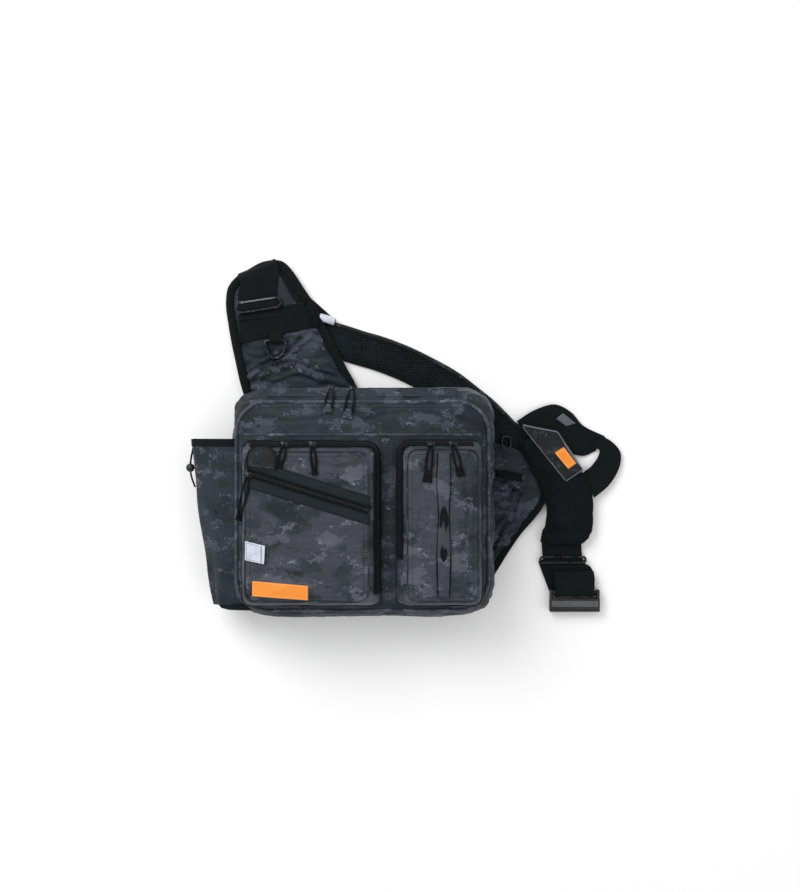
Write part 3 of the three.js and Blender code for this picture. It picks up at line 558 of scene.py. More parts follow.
class Ground:
    """The finished surfaces that trims are laid on."""

    def __init__(self, *meshes: bmesh.types.BMesh) -> None:
        """Keeps the surfaces of some meshes in millimetres."""
        self.trees = [BVHTree.FromBMesh(bm) for bm in meshes]

    def height(self, x: float, y: float, below: float = 400.0) -> float | None:
        """Gives the height of the highest surface under a point, or None beside them all."""
        hits = [tree.ray_cast(Vector((x, y, below)), Vector((0, 0, -1)))[0] for tree in self.trees]
        return max((hit.z for hit in hits if hit is not None), default=None)

    def laid(self, bm: bmesh.types.BMesh, lift: float, beside: float) -> bmesh.types.BMesh:
        """Drapes a mesh that was made round height 0.

        Args:
            bm: The mesh, which is changed.
            lift: How far above the surface its height 0 goes.
            beside: The surface's height where there is none.

        Returns:
            The same mesh.
        """
        for vert in bm.verts:
            found = self.height(vert.co.x, vert.co.y)
            vert.co.z += (beside if found is None else found) + lift
        return bm

    def line(self, points: Sequence[Vector], lift: float, beside: float, ease: int = 2) -> list[Vector]:
        """Lays a path on the surface.

        Args:
            points: The path on the plan.
            lift: How far above the surface it runs.
            beside: The surface's height where there is none.
            ease: How often sharp bends are smoothed.

        Returns:
            The path's points in place.
        """
        heights = [self.height(p.x, p.y) for p in points]
        line = [Vector((p.x, p.y, (beside if h is None else h) + lift + p.z))
                for p, h in zip(points, heights)]
        for _ in range(ease):
            for i in range(1, len(line) - 1):
                line[i].z = max(line[i].z, (line[i - 1].z + line[i + 1].z) / 2)
        return line


# Finishes

def linear(red: int, green: int, blue: int) -> tuple[float, float, float, float]:
    """Turns a colour of 0 to 255 on a screen into the shader's own numbers."""
    def one(value: int) -> float:
        """Turns one channel."""
        share = value / 255
        return share / 12.92 if share <= 0.04045 else ((share + 0.055) / 1.055) ** 2.4
    return (one(red), one(green), one(blue), 1.0)


Value = float | bpy.types.NodeSocket


class Graph:
    """A material's nodes, with short names for those that the finishes use."""

    def __init__(self, name: str) -> None:
        """Starts an empty material."""
        self.material = bpy.data.materials.new(name)
        self.material.use_nodes = True
        self.tree = self.material.node_tree
        self.tree.nodes.clear()

    def node(self, kind: str, inputs: dict | None = None, **settings: object) -> bpy.types.Node:
        """Adds a node.

        Args:
            kind: The node's type, without its common start.
            inputs: A value or another node's output for each named or numbered input.
            settings: The node's own properties.

        Returns:
            The node.
        """
        made = self.tree.nodes.new("ShaderNode" + kind)
        for key, value in settings.items():
            setattr(made, key, value)
        for key, value in (inputs or {}).items():
            if isinstance(value, bpy.types.NodeSocket):
                self.tree.links.new(value, made.inputs[key])
            else:
                made.inputs[key].default_value = value
        return made

    def place(self, scale: Sequence[float] = (1, 1, 1), turn: float = 0.0,
              shift: Sequence[float] = (0, 0, 0)) -> bpy.types.NodeSocket:
        """Gives the place on the piece in millimetres, stretched, turned about Z and shifted."""
        source = self.node("TexCoord").outputs["Object"]
        size = tuple(s / MM for s in scale)
        return self.node("Mapping", {"Vector": source, "Scale": size, "Rotation": (0, 0, math.radians(turn)),
                                     "Location": tuple(shift)}).outputs[0]

    def cloth(self) -> bpy.types.NodeSocket:
        """Gives the place along the cloth's own UV map, in millimetres."""
        source = self.node("UVMap", uv_map="cloth").outputs["UV"]
        return self.node("Mapping", {"Vector": source, "Scale": (1 / MM, 1 / MM, 1 / MM)}).outputs[0]

    def noise(self, vector: bpy.types.NodeSocket, length: float, detail: float = 2.0,
              rough: float = 0.5) -> bpy.types.Node:
        """Adds noise with features about so many millimetres long."""
        return self.node("TexNoise", {"Vector": vector, "Scale": 1 / length, "Detail": detail,
                                      "Roughness": rough})

    def math(self, operation: str, a: Value, b: Value = 0.0, clamp: bool = False) -> bpy.types.NodeSocket:
        """Works out one number."""
        return self.node("Math", {0: a, 1: b}, operation=operation, use_clamp=clamp).outputs[0]

    def ramp(self, value: Value, stops: Sequence[tuple[float, object]],
             steps: bool = False) -> bpy.types.NodeSocket:
        """Turns a number into a colour or a grey.

        Args:
            value: The number.
            stops: Each stop's place and its colour, or its grey as one number.
            steps: Whether the colours change at once.

        Returns:
            The colour.
        """
        made = self.node("ValToRGB", {0: value})
        made.color_ramp.interpolation = "CONSTANT" if steps else "LINEAR"
        points = made.color_ramp.elements
        while len(points) < len(stops):
            points.new(0.5)
        for point, (where, colour) in zip(points, stops):
            point.position = where
            point.color = colour if isinstance(colour, tuple) else (colour, colour, colour, 1.0)
        return made.outputs[0]

    def blend(self, factor: Value, a: object, b: object, mode: str = "MIX") -> bpy.types.NodeSocket:
        """Mixes two colours."""
        return self.node("Mix", {0: factor, 6: a, 7: b}, data_type="RGBA", blend_type=mode).outputs[2]

    def waves(self, vector: bpy.types.NodeSocket, pitch: float, axis: str,
              distort: float = 0.0) -> bpy.types.NodeSocket:
        """Gives ridges across an axis, so many millimetres apart."""
        return self.node("TexWave", {"Vector": vector, "Scale": math.pi / (10 * pitch), "Distortion": distort,
                                     "Detail": 1.0}, bands_direction=axis).outputs["Fac"]

    def bump(self, height: bpy.types.NodeSocket, depth: float, normal: bpy.types.NodeSocket | None = None,
             strength: float = 1.0) -> bpy.types.NodeSocket:
        """Turns a height into a normal; depth is in millimetres."""
        inputs = {"Height": height, "Distance": depth * MM, "Strength": strength}
        if normal is not None:
            inputs["Normal"] = normal
        return self.node("Bump", inputs).outputs[0]

    def finish(self, **inputs: object) -> bpy.types.Material:
        """Closes the graph with a shader.

        Args:
            inputs: The shader's inputs, with _ for a space.

        Returns:
            The material.
        """
        shader = self.node("BsdfPrincipled", {key.replace("_", " "): value for key, value in inputs.items()})
        self.node("OutputMaterial", {"Surface": shader.outputs[0]})
        return self.material


@dataclass(frozen=True)
class Finish:
    """What a surface is made of."""

    name: str
    slot: Slot

    def material(self) -> bpy.types.Material:
        """Gives the finish's material, made once."""
        return bpy.data.materials.get(self.name) or self.paint(Graph(self.name))

    def paint(self, graph: Graph) -> bpy.types.Material:
        """Builds the material; each kind of finish has its own way."""
        raise NotImplementedError


@dataclass(frozen=True)
class CamoCloth(Finish):
    """Printed woven polyester: ragged patches that run along the width."""

    base: tuple[int, int, int] = (59, 62, 72)
    dark: tuple[int, int, int] = (41, 50, 58)
    deep: tuple[int, int, int] = (27, 35, 40)
    light: tuple[int, int, int] = (80, 82, 93)
    fleck: tuple[int, int, int] = (116, 121, 134)
    patch: float = 46.0
    shift: tuple[float, float, float] = (0.0, 0.0, 0.0)
    bare: float = 0.0

    def paint(self, graph: Graph) -> bpy.types.Material:
        """Prints the camouflage, then weaves and wears the cloth."""
        plain = graph.place(shift=self.shift)
        torn = graph.noise(plain, 7.0, 4.0, 0.65).outputs["Color"]
        push = graph.node("VectorMath", {0: torn, 1: (0.5, 0.5, 0.5)}, operation="SUBTRACT").outputs[0]
        push = graph.node("VectorMath", {0: push, "Scale": 17.0}, operation="SCALE").outputs[0]
        ragged = graph.node("VectorMath", {0: plain, 1: push}, operation="ADD").outputs[0]
        cells = graph.node("VectorMath", {0: ragged, 1: (2.2, 1.2, 2.2)}, operation="SNAP").outputs[0]
        wide = graph.node("Mapping", {"Vector": cells, "Scale": (0.62, 1.0, 0.8)}).outputs[0]
        big = graph.noise(wide, self.patch, 2.0, 0.5).outputs["Fac"]
        ground = graph.ramp(big, [(0.0, linear(*self.deep)), (0.37, linear(*self.dark)),
                                  (0.475 - self.bare, linear(*self.base)),
                                  (0.625, linear(*self.dark))], steps=True)
        over = graph.node("Mapping", {"Vector": cells, "Scale": (0.55, 1.0, 0.8),
                                      "Location": (311, 97, 41)}).outputs[0]
        patches = graph.noise(over, self.patch * 0.5, 2.0, 0.55).outputs["Fac"]
        shown = graph.ramp(patches, [(0.0, 0.0), (0.585, 1.0)], steps=True)
        colour = graph.blend(shown, ground, linear(*self.light))
        small = graph.node("Mapping", {"Vector": cells, "Scale": (0.5, 1.0, 0.8),
                                       "Location": (17, 503, 9)}).outputs[0]
        holes = graph.noise(small, self.patch * 0.32, 2.0, 0.6).outputs["Fac"]
        colour = graph.blend(graph.ramp(holes, [(0.0, 0.0), (0.66, 0.85)], steps=True), colour,
                             linear(*self.deep))
        dots = graph.noise(graph.node("Mapping", {"Vector": cells, "Scale": (0.4, 1.0, 0.7)}).outputs[0],
                           3.4, 2.0,
                           0.6).outputs["Fac"]
        near = graph.ramp(patches, [(0.5, 0.0), (0.57, 1.0), (0.63, 0.0)])
        flecks = graph.math("MULTIPLY", graph.ramp(dots, [(0.0, 0.0), (0.62, 1.0)], steps=True), near,
                            clamp=True)
        colour = graph.blend(flecks, colour, linear(*self.fleck))
        clouds = graph.noise(plain, 60.0, 3.0).outputs["Fac"]
        colour = graph.blend(0.55, colour, graph.ramp(clouds, [(0.3, 0.62), (0.7, 1.25)]), "MULTIPLY")
        weave = graph.math("MULTIPLY", graph.waves(plain, 0.9, "X"), graph.waves(plain, 0.9, "Y"))
        slubs = graph.noise(graph.node("Mapping", {"Vector": plain, "Scale": (0.3, 2.5, 0.6)}).outputs[0],
                            5.0,
                            2.0).outputs["Fac"]
        colour = graph.blend(0.16, colour, graph.ramp(slubs, [(0.3, 0.35), (0.7, 1.5)]), "MULTIPLY")
        rough = graph.ramp(clouds, [(0.3, 0.5), (0.7, 0.66)])
        puckers = graph.bump(graph.noise(plain, 9.0, 3.0, 0.6).outputs["Fac"], 1.1, strength=0.5)
        normal = graph.bump(weave, 0.16, puckers, 0.8)
        return graph.finish(Base_Color=colour, Roughness=rough, Normal=normal, Sheen_Weight=0.04,
                            Sheen_Roughness=0.45, Specular_IOR_Level=0.22)


@dataclass(frozen=True)
class Webbing(Finish):
    """Ribbed polyester webbing or tape, read along its own length."""

    colour: tuple[int, int, int] = (27, 30, 31)
    rib: float = 1.7
    gloss: float = 0.62

    def paint(self, graph: Graph) -> bpy.types.Material:
        """Weaves the ribs and dusts the high yarns."""
        cloth, plain = graph.cloth(), graph.place()
        ribs = graph.waves(cloth, self.rib, "Y", 0.4)
        yarns = graph.waves(cloth, self.rib * 0.55, "X", 0.3)
        weave = graph.math("ADD", graph.math("MULTIPLY", ribs, 0.7), graph.math("MULTIPLY", yarns, 0.3))
        dust = graph.noise(plain, 24.0, 4.0, 0.6).outputs["Fac"]
        low, high = linear(*self.colour), linear(*(round(c * 1.45 + 3) for c in self.colour))
        colour = graph.blend(graph.math("MULTIPLY", weave, graph.ramp(dust, [(0.3, 0.25), (0.72, 0.8)])),
                             low, high)
        rough = graph.ramp(dust, [(0.3, self.gloss), (0.7, min(1.0, self.gloss + 0.16))])
        normal = graph.bump(weave, 0.35)
        return graph.finish(Base_Color=colour, Roughness=rough, Normal=normal, Sheen_Weight=0.02,
                            Sheen_Roughness=0.5, Specular_IOR_Level=0.14)


@dataclass(frozen=True)
class AirMesh(Finish):
    """Spacer mesh with a net of small holes."""

    cell: float = 3.4
    colour: tuple[int, int, int] = (15, 20, 22)

    def paint(self, graph: Graph) -> bpy.types.Material:
        """Knits the net; its holes are painted darker, as painted shade inside them."""
        plain = graph.place()
        nudge = graph.noise(plain, 5.0, 2.0).outputs["Color"]
        slack = graph.node("VectorMath", {0: nudge, "Scale": 0.9}, operation="SCALE").outputs[0]
        knit = graph.node("VectorMath", {0: plain, 1: slack}, operation="ADD").outputs[0]
        cells = graph.node("TexVoronoi", {"Vector": knit, "Scale": 1 / self.cell, "Randomness": 0.35},
                           distance="EUCLIDEAN").outputs["Distance"]
        net = graph.ramp(cells, [(0.2, 0.0), (0.44, 1.0)])
        dust = graph.noise(plain, 30.0, 3.0).outputs["Fac"]
        # Painted shade: the holes take this darker copy of the mesh colour.
        low = linear(*(round(c * 0.42) for c in self.colour))
        high = graph.blend(dust, linear(*self.colour), linear(*(round(c * 1.5 + 4) for c in self.colour)))
        colour = graph.blend(net, low, high)
        normal = graph.bump(net, 0.9, strength=0.9)
        return graph.finish(Base_Color=colour, Roughness=0.9, Normal=normal, Sheen_Weight=0.01,
                            Sheen_Roughness=0.5, Specular_IOR_Level=0.1)


@dataclass(frozen=True)
class ZipCoil(Finish):
    """Black nylon coil."""

    def paint(self, graph: Graph) -> bpy.types.Material:
        """Gives the coil a worn satin."""
        grime = graph.noise(graph.place(), 3.0, 3.0).outputs["Fac"]
        colour = graph.ramp(grime, [(0.3, linear(6, 8, 10)), (0.75, linear(17, 21, 23))])
        return graph.finish(Base_Color=colour, Roughness=graph.ramp(grime, [(0.3, 0.3), (0.7, 0.5)]),
                            Normal=graph.bump(grime, 0.12, strength=0.5), Specular_IOR_Level=0.5)


@dataclass(frozen=True)
class DarkMetal(Finish):
    """Dark plated metal, brighter in scuffs and at edges: partly rubbed plating, partly painted glints."""

    colour: tuple[int, int, int] = (26, 28, 31)
    worn: tuple[int, int, int] = (84, 87, 93)
    shine: float = 0.3

    def paint(self, graph: Graph) -> bpy.types.Material:
        """Lightens small scuffs and edges: rubbed plating, and in part painted glints."""
        plain = graph.place()
        scuffs = graph.noise(plain, 2.6, 5.0, 0.7).outputs["Fac"]
        edge = graph.ramp(graph.node("NewGeometry").outputs["Pointiness"], [(0.5, 0.0), (0.58, 1.0)])
        # Partly painted highlight: the brighter scuffs and pointy edges stand for glints as well as for rubbed
        # plating.
        rub_and_glint = graph.math("MULTIPLY", graph.ramp(scuffs, [(0.42, 0.0), (0.7, 1.0)]),
                          graph.math("ADD", edge, 0.25),
                          clamp=True)
        colour = graph.blend(rub_and_glint, linear(*self.colour), linear(*self.worn))
        return graph.finish(Base_Color=colour, Metallic=0.85,
                            Roughness=graph.ramp(scuffs, [(0.3, self.shine), (0.7, self.shine + 0.16)]),
                            Normal=graph.bump(scuffs, 0.06, strength=0.4))


@dataclass(frozen=True)
class GreyPlastic(Finish):
    """Moulded acetal with a fine spark-eroded grain."""

    colour: tuple[int, int, int] = (14, 17, 19)

    def paint(self, graph: Graph) -> bpy.types.Material:
        """Grains and scuffs the moulding."""
        plain = graph.place()
        grain = graph.noise(plain, 0.55, 2.0).outputs["Fac"]
        scuffs = graph.noise(plain, 7.0, 6.0, 0.7).outputs["Fac"]
        light = linear(*(round(c * 1.35 + 4) for c in self.colour))
        colour = graph.blend(graph.ramp(scuffs, [(0.45, 0.0), (0.75, 0.7)]), linear(*self.colour), light)
        return graph.finish(Base_Color=colour, Roughness=graph.ramp(scuffs, [(0.3, 0.36), (0.7, 0.52)]),
                            Normal=graph.bump(grain, 0.05, strength=0.6), Specular_IOR_Level=0.5)


@dataclass(frozen=True)
class SoftLabel(Finish):
    """A bare woven label with thread colour variation."""

    colour: tuple[int, int, int] = (240, 143, 44)

    def paint(self, graph: Graph) -> bpy.types.Material:
        """Weaves fine threads and fades them a little."""
        plain = graph.place()
        threads = graph.waves(graph.cloth(), 0.8, "Y", 0.5)
        fade = graph.noise(plain, 14.0, 4.0, 0.6).outputs["Fac"]
        low, high = linear(*(round(c * 0.93) for c in self.colour)), linear(*self.colour)
        colour = graph.blend(graph.math("MULTIPLY", threads, fade), high, low)
        return graph.finish(Base_Color=colour, Roughness=0.52, Normal=graph.bump(threads, 0.18, strength=0.6),
                            Sheen_Weight=0.1, Specular_IOR_Level=0.4)


@dataclass(frozen=True)
class SilverTape(Finish):
    """Reflective tape: pale, smooth and faintly beaded."""

    colour: tuple[int, int, int] = (206, 212, 226)

    def paint(self, graph: Graph) -> bpy.types.Material:
        """Sets the beads and some soil."""
        plain = graph.place()
        beads = graph.noise(plain, 0.7, 1.0).outputs["Fac"]
        soil = graph.noise(plain, 11.0, 4.0, 0.6).outputs["Fac"]
        dull = linear(*(round(c * 0.84) for c in self.colour))
        colour = graph.blend(graph.ramp(soil, [(0.4, 0.0), (0.75, 1.0)]), linear(*self.colour), dull)
        return graph.finish(Base_Color=colour, Roughness=graph.ramp(soil, [(0.3, 0.3), (0.7, 0.46)]),
                            Normal=graph.bump(beads, 0.05, strength=0.5), Metallic=0.15)


BODY_CAMO = CamoCloth("body camouflage cloth", Slot.CAMO,
                      base=(37, 45, 54), dark=(27, 37, 45), deep=(17, 26, 32),
                      light=(59, 64, 77), fleck=(100, 106, 120), patch=40.0, shift=(40, 12, 0))
# A lighter copy of the body camo: on the front piping and the seam ridge its lightness is painted highlight.
TRIM_CAMO = CamoCloth("piping camouflage cloth", Slot.CAMO,
                      base=(66, 71, 82), dark=(48, 57, 67), deep=(34, 43, 50),
                      light=(88, 92, 105), fleck=(124, 129, 141), patch=24.0, shift=(90, 12, 0))
POCKET_CAMO = CamoCloth("pocket camouflage cloth", Slot.CAMO, shift=(-30, 60, 0), bare=0.03)
STRAP_CAMO = CamoCloth("strap camouflage cloth", Slot.CAMO,
                       base=(24, 28, 31), dark=(18, 22, 24), deep=(15, 20, 21),
                       light=(46, 50, 56), fleck=(92, 94, 102), patch=26.0, shift=(220, 130, 0))
WEBBING = Webbing("black webbing", Slot.WEBBING, colour=(10, 15, 16), gloss=0.8)
TAPE = Webbing("black binding tape", Slot.WEBBING, colour=(11, 17, 18), rib=0.9, gloss=0.8)
SLANT_TAPE = Webbing("charcoal zip flap tape", Slot.WEBBING, colour=(28, 34, 37), rib=0.9, gloss=0.75)
CORD = Webbing("black cord", Slot.WEBBING, colour=(6, 8, 9), rib=1.1, gloss=0.6)
THREAD = Webbing("dark thread", Slot.WEBBING, colour=(12, 14, 16), rib=0.5, gloss=0.6)
PALE_THREAD = Webbing("grey thread", Slot.WEBBING, colour=(92, 98, 108), rib=0.5, gloss=0.6)
AIR_MESH = AirMesh("black air mesh", Slot.MESH)
PAD_MESH = AirMesh("black pad mesh", Slot.MESH, cell=3.0, colour=(10, 14, 16))
COIL = ZipCoil("black zip coil", Slot.ZIP)
ZIP_TAPE = Webbing("black zip tape", Slot.ZIP, colour=(7, 10, 12), rib=0.8, gloss=0.75)
METAL = DarkMetal("dark plated metal", Slot.METAL, colour=(11, 12, 14), worn=(84, 88, 94), shine=0.24)
# Painted highlight: this metal's light grey base colour stands for the highlight on the pad slider's upper bar.
BAR_HIGHLIGHT_METAL = DarkMetal("bar metal with painted highlight", Slot.METAL, colour=(84, 88, 92), worn=(128, 132, 136), shine=0.24)
# On the sliders the brighter spots are partly painted glints.
SLIDER_METAL = DarkMetal("slider metal", Slot.ZIP, colour=(12, 13, 15), worn=(98, 101, 107), shine=0.22)
PLASTIC = GreyPlastic("grey moulded plastic", Slot.PLASTIC)
DARK_PLASTIC = GreyPlastic("dark moulded plastic", Slot.PLASTIC, (10, 11, 12))
LABEL = SoftLabel("orange label", Slot.LABEL)
LABEL_THREAD = SoftLabel("pale orange thread", Slot.LABEL, (252, 206, 142))
SILVER = SilverTape("silver tape", Slot.SILVER)
DULL_SILVER = SilverTape("dull silver tape", Slot.SILVER, (84, 87, 96))
EDGE_TAPE = Webbing("grey edge tape", Slot.CAMO, (96, 101, 106), 0.9, 0.6)
# Painted highlight: this light grey stands for the highlight on the buckle's flat front face.
HIGHLIGHT_PLASTIC = GreyPlastic("grey plastic with painted highlight", Slot.PLASTIC, (68, 73, 77))


def finished(bm: bmesh.types.BMesh, name: str, finish: Finish, nodes: Sequence[str] = (),
             body: str = "bag") -> bpy.types.Object:
    """Turns a mesh into a piece of the bag.

    Args:
        bm: The mesh in millimetres, which is used up.
        name: The piece's plain name.
        finish: What it is made of.
        nodes: The solids that it stands for.
        body: The body that it moves with.

    Returns:
        The piece.
    """
    for face in bm.faces:
        face.smooth = True
    for vert in bm.verts:  # nothing sinks into the ground that the bag lies on
        vert.co.z = max(vert.co.z, GROUND_GAP)
    piece = to_object(bm, name)
    piece.data.materials.append(finish.material())
    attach(piece, body)
    if nodes:
        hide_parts(*nodes)
    return piece


# Parts that repeat

@dataclass(frozen=True)
class Zip:
    """A coil zip on its two tapes."""

    tape: float = 5.5
    coil: float = 2.2
    pitch: float = 1.9

    def build(self, name: str, path: Sequence[Vector], ups: Sequence[Vector],
              nodes: Sequence[str]) -> list[bpy.types.Object]:
        """Lays the zip along a path.

        Args:
            name: The zip's plain name.
            path: Its middle line.
            ups: The way out of the cloth at each point.
            nodes: The solids that it stands for.

        Returns:
            The tapes and the coil.
        """
        tapes = []
        for side in (-1, 1):
            rows = []
            for i, (point, up) in enumerate(zip(path, ups)):
                ahead = path[min(i + 1, len(path) - 1)] - path[max(i - 1, 0)]
                out = up.cross(ahead).normalized() * side
                near, far = point + out * self.coil * 0.45, point + out * self.tape
                pair = (far, near) if side > 0 else (near, far)
                rows.append((*pair[0], *pair[1]))
            tapes.append(band(rows, 0.9, len(path) * 2, 2))
        size = (self.pitch * 0.72, self.coil * 1.1, 1.5)
        teeth = [grains(path, ups, self.pitch, size, (side * self.coil * 0.42, 0.75 + side * 0.1))
                 for side in (-1, 1)]
        return [
            finished(merged(tapes), f"{name}_tape", ZIP_TAPE),
            finished(merged(teeth), f"{name}_coil", COIL, nodes),
        ]


@dataclass(frozen=True)
class Slider:
    """A zip slider with its bridge."""

    length: float = 10.0
    width: float = 7.5

    def shape(self, seat: Matrix) -> bmesh.types.BMesh:
        """Casts the slider, with X along the zip and Z out of the cloth."""
        long, half = self.length / 2, self.width / 2
        plate = block(Vector((-long, -half, 0.2)), Vector((long, half, 3.2)), 1.2)
        for vert in plate.verts:
            if vert.co.x > 0:
                vert.co.y *= 1 - 0.28 * vert.co.x / long
        arch = smooth_path([Vector((-long * 0.7, 0, 2.6)), Vector((-long * 0.55, 0, 5.2)),
                            Vector((long * 0.3, 0, 5.2)), Vector((long * 0.6, 0, 2.8))], 12)
        return turned(merged([plate, tube(arch, 1.1, 8)]), seat)


@dataclass(frozen=True)
class Pull:
    """A cord loop on a zip slider, with a grip at its end."""

    name: str
    x: float
    reach: float
    spread: float
    grip: float
    lean: float
    pale: bool = False
    cord: float = 1.5

    def build(self, start: Vector, ground: Ground, beside: float, nodes: Sequence[str],
              ahead: Vector) -> list[bpy.types.Object]:
        """Hangs the pull from its slider and lays it on the cloth.

        Args:
            start: Where the loop leaves the slider, on the plan and with its height.
            ground: What it lies on.
            beside: The height beside the ground.
            nodes: The solids that it stands for.
            ahead: The zip's direction.

        Returns:
            The slider, the cord and the grip.
        """
        angle = -math.pi / 2 + math.radians(self.lean)
        down = Vector((math.cos(angle), math.sin(angle), 0))
        aside = Vector((-down.y, down.x, 0))
        loop = []
        for side in (-1, 1):
            strand = [start + down * (self.reach * t)
                      + aside * side * self.spread * math.sin(math.pi * min(1, t * 0.8 + 0.1))
                      for t in np.linspace(0.02, 0.86, 12)]
            loop.append(strand if side < 0 else strand[::-1])
        turn = [start - down * 2.2]
        flat = [Vector((p.x, p.y, 0)) for p in loop[1] + turn + loop[0]]
        line = ground.line(smooth_path(flat, 60), self.cord + 0.35, beside, 3)
        top = start.z + 2.0
        for i, point in enumerate(line):
            near = max(0.0, 1 - (Vector((point.x, point.y, 0)) - Vector((start.x, start.y, 0))).length / 9)
            point.z = max(point.z, point.z + (top - point.z) * near)
        cord = tube(line, self.cord, 8)
        foot = start + down * self.reach * 0.72
        tip = start + down * (self.reach + 2)
        rows = []
        for t in np.linspace(0, 1, 7):
            middle = foot.lerp(tip, t)
            half = self.grip / 2 * (0.72 + 0.28 * t)
            rows.append((*(middle - aside * half).to_2d(), 0.0, *(middle + aside * half).to_2d(), 0.0))
        grip = band(rows, 2.2, 14, 4, lambda s, v: 0.55 * (1 - s * s) * math.sin(math.pi * v), 1.1)
        grip = ground.laid(grip, 1.6 + self.cord * 0.5, beside)
        ribs = [tube(ground.line([foot.lerp(tip, t) - aside * self.grip * 0.36, foot.lerp(tip, t),
                                  foot.lerp(tip, t) + aside * self.grip * 0.36], 0, beside, 0), 0.45, 6)
                for t in (0.3, 0.45, 0.6, 0.75)]
        for rib in ribs:
            for vert in rib.verts:
                vert.co.z = (ground.height(vert.co.x, vert.co.y) or beside) + 3.3 + self.cord * 0.5
        slider = Slider().shape(seated(Vector((start.x, start.y, start.z)), ahead, Vector((0, 0, 1))))
        return [
            finished(slider, f"{self.name}_slider", SLIDER_METAL),
            finished(cord, f"{self.name}_cord", CORD),
            finished(merged([grip, *ribs]), self.name, TRIM_CAMO if self.pale else CORD, nodes),
        ]


def patch_rows(corners: Sequence[tuple[float, float]], steps: int = 6) -> list[tuple[float, ...]]:
    """Gives a band's rows for a four-cornered patch, whose corners go round it in shares."""
    a, b, c, d = (at(x, y) for x, y in corners)
    return [(*d.lerp(c, t), *a.lerp(b, t)) for t in np.linspace(0, 1, steps)]


def hem(corners: Sequence[tuple[float, float]], inset: float, ground: Ground, lift: float,
        beside: float) -> list[Vector]:
    """Gives the closed line of a patch's stitches, inset from its edge and laid on the ground."""
    points = [at(x, y) for x, y in corners]
    middle = sum(points, Vector()) / len(points)
    inner = []
    for i, point in enumerate(points):
        before, after = points[i - 1], points[(i + 1) % len(points)]
        inward = ((before - point).normalized() + (after - point).normalized())
        if inward.dot(middle - point) < 0:
            inward = -inward
        inner.append(point + inward.normalized() * inset * 1.35)
    line = []
    for a, b in zip(inner, inner[1:] + inner[:1]):
        line += [a.lerp(b, t) for t in np.linspace(0, 1, 14, endpoint=False)]
    return ground.line(line + [line[0]], lift, beside, 1)


UP = Vector((0, 0, 1))


# The bag's sub-assemblies

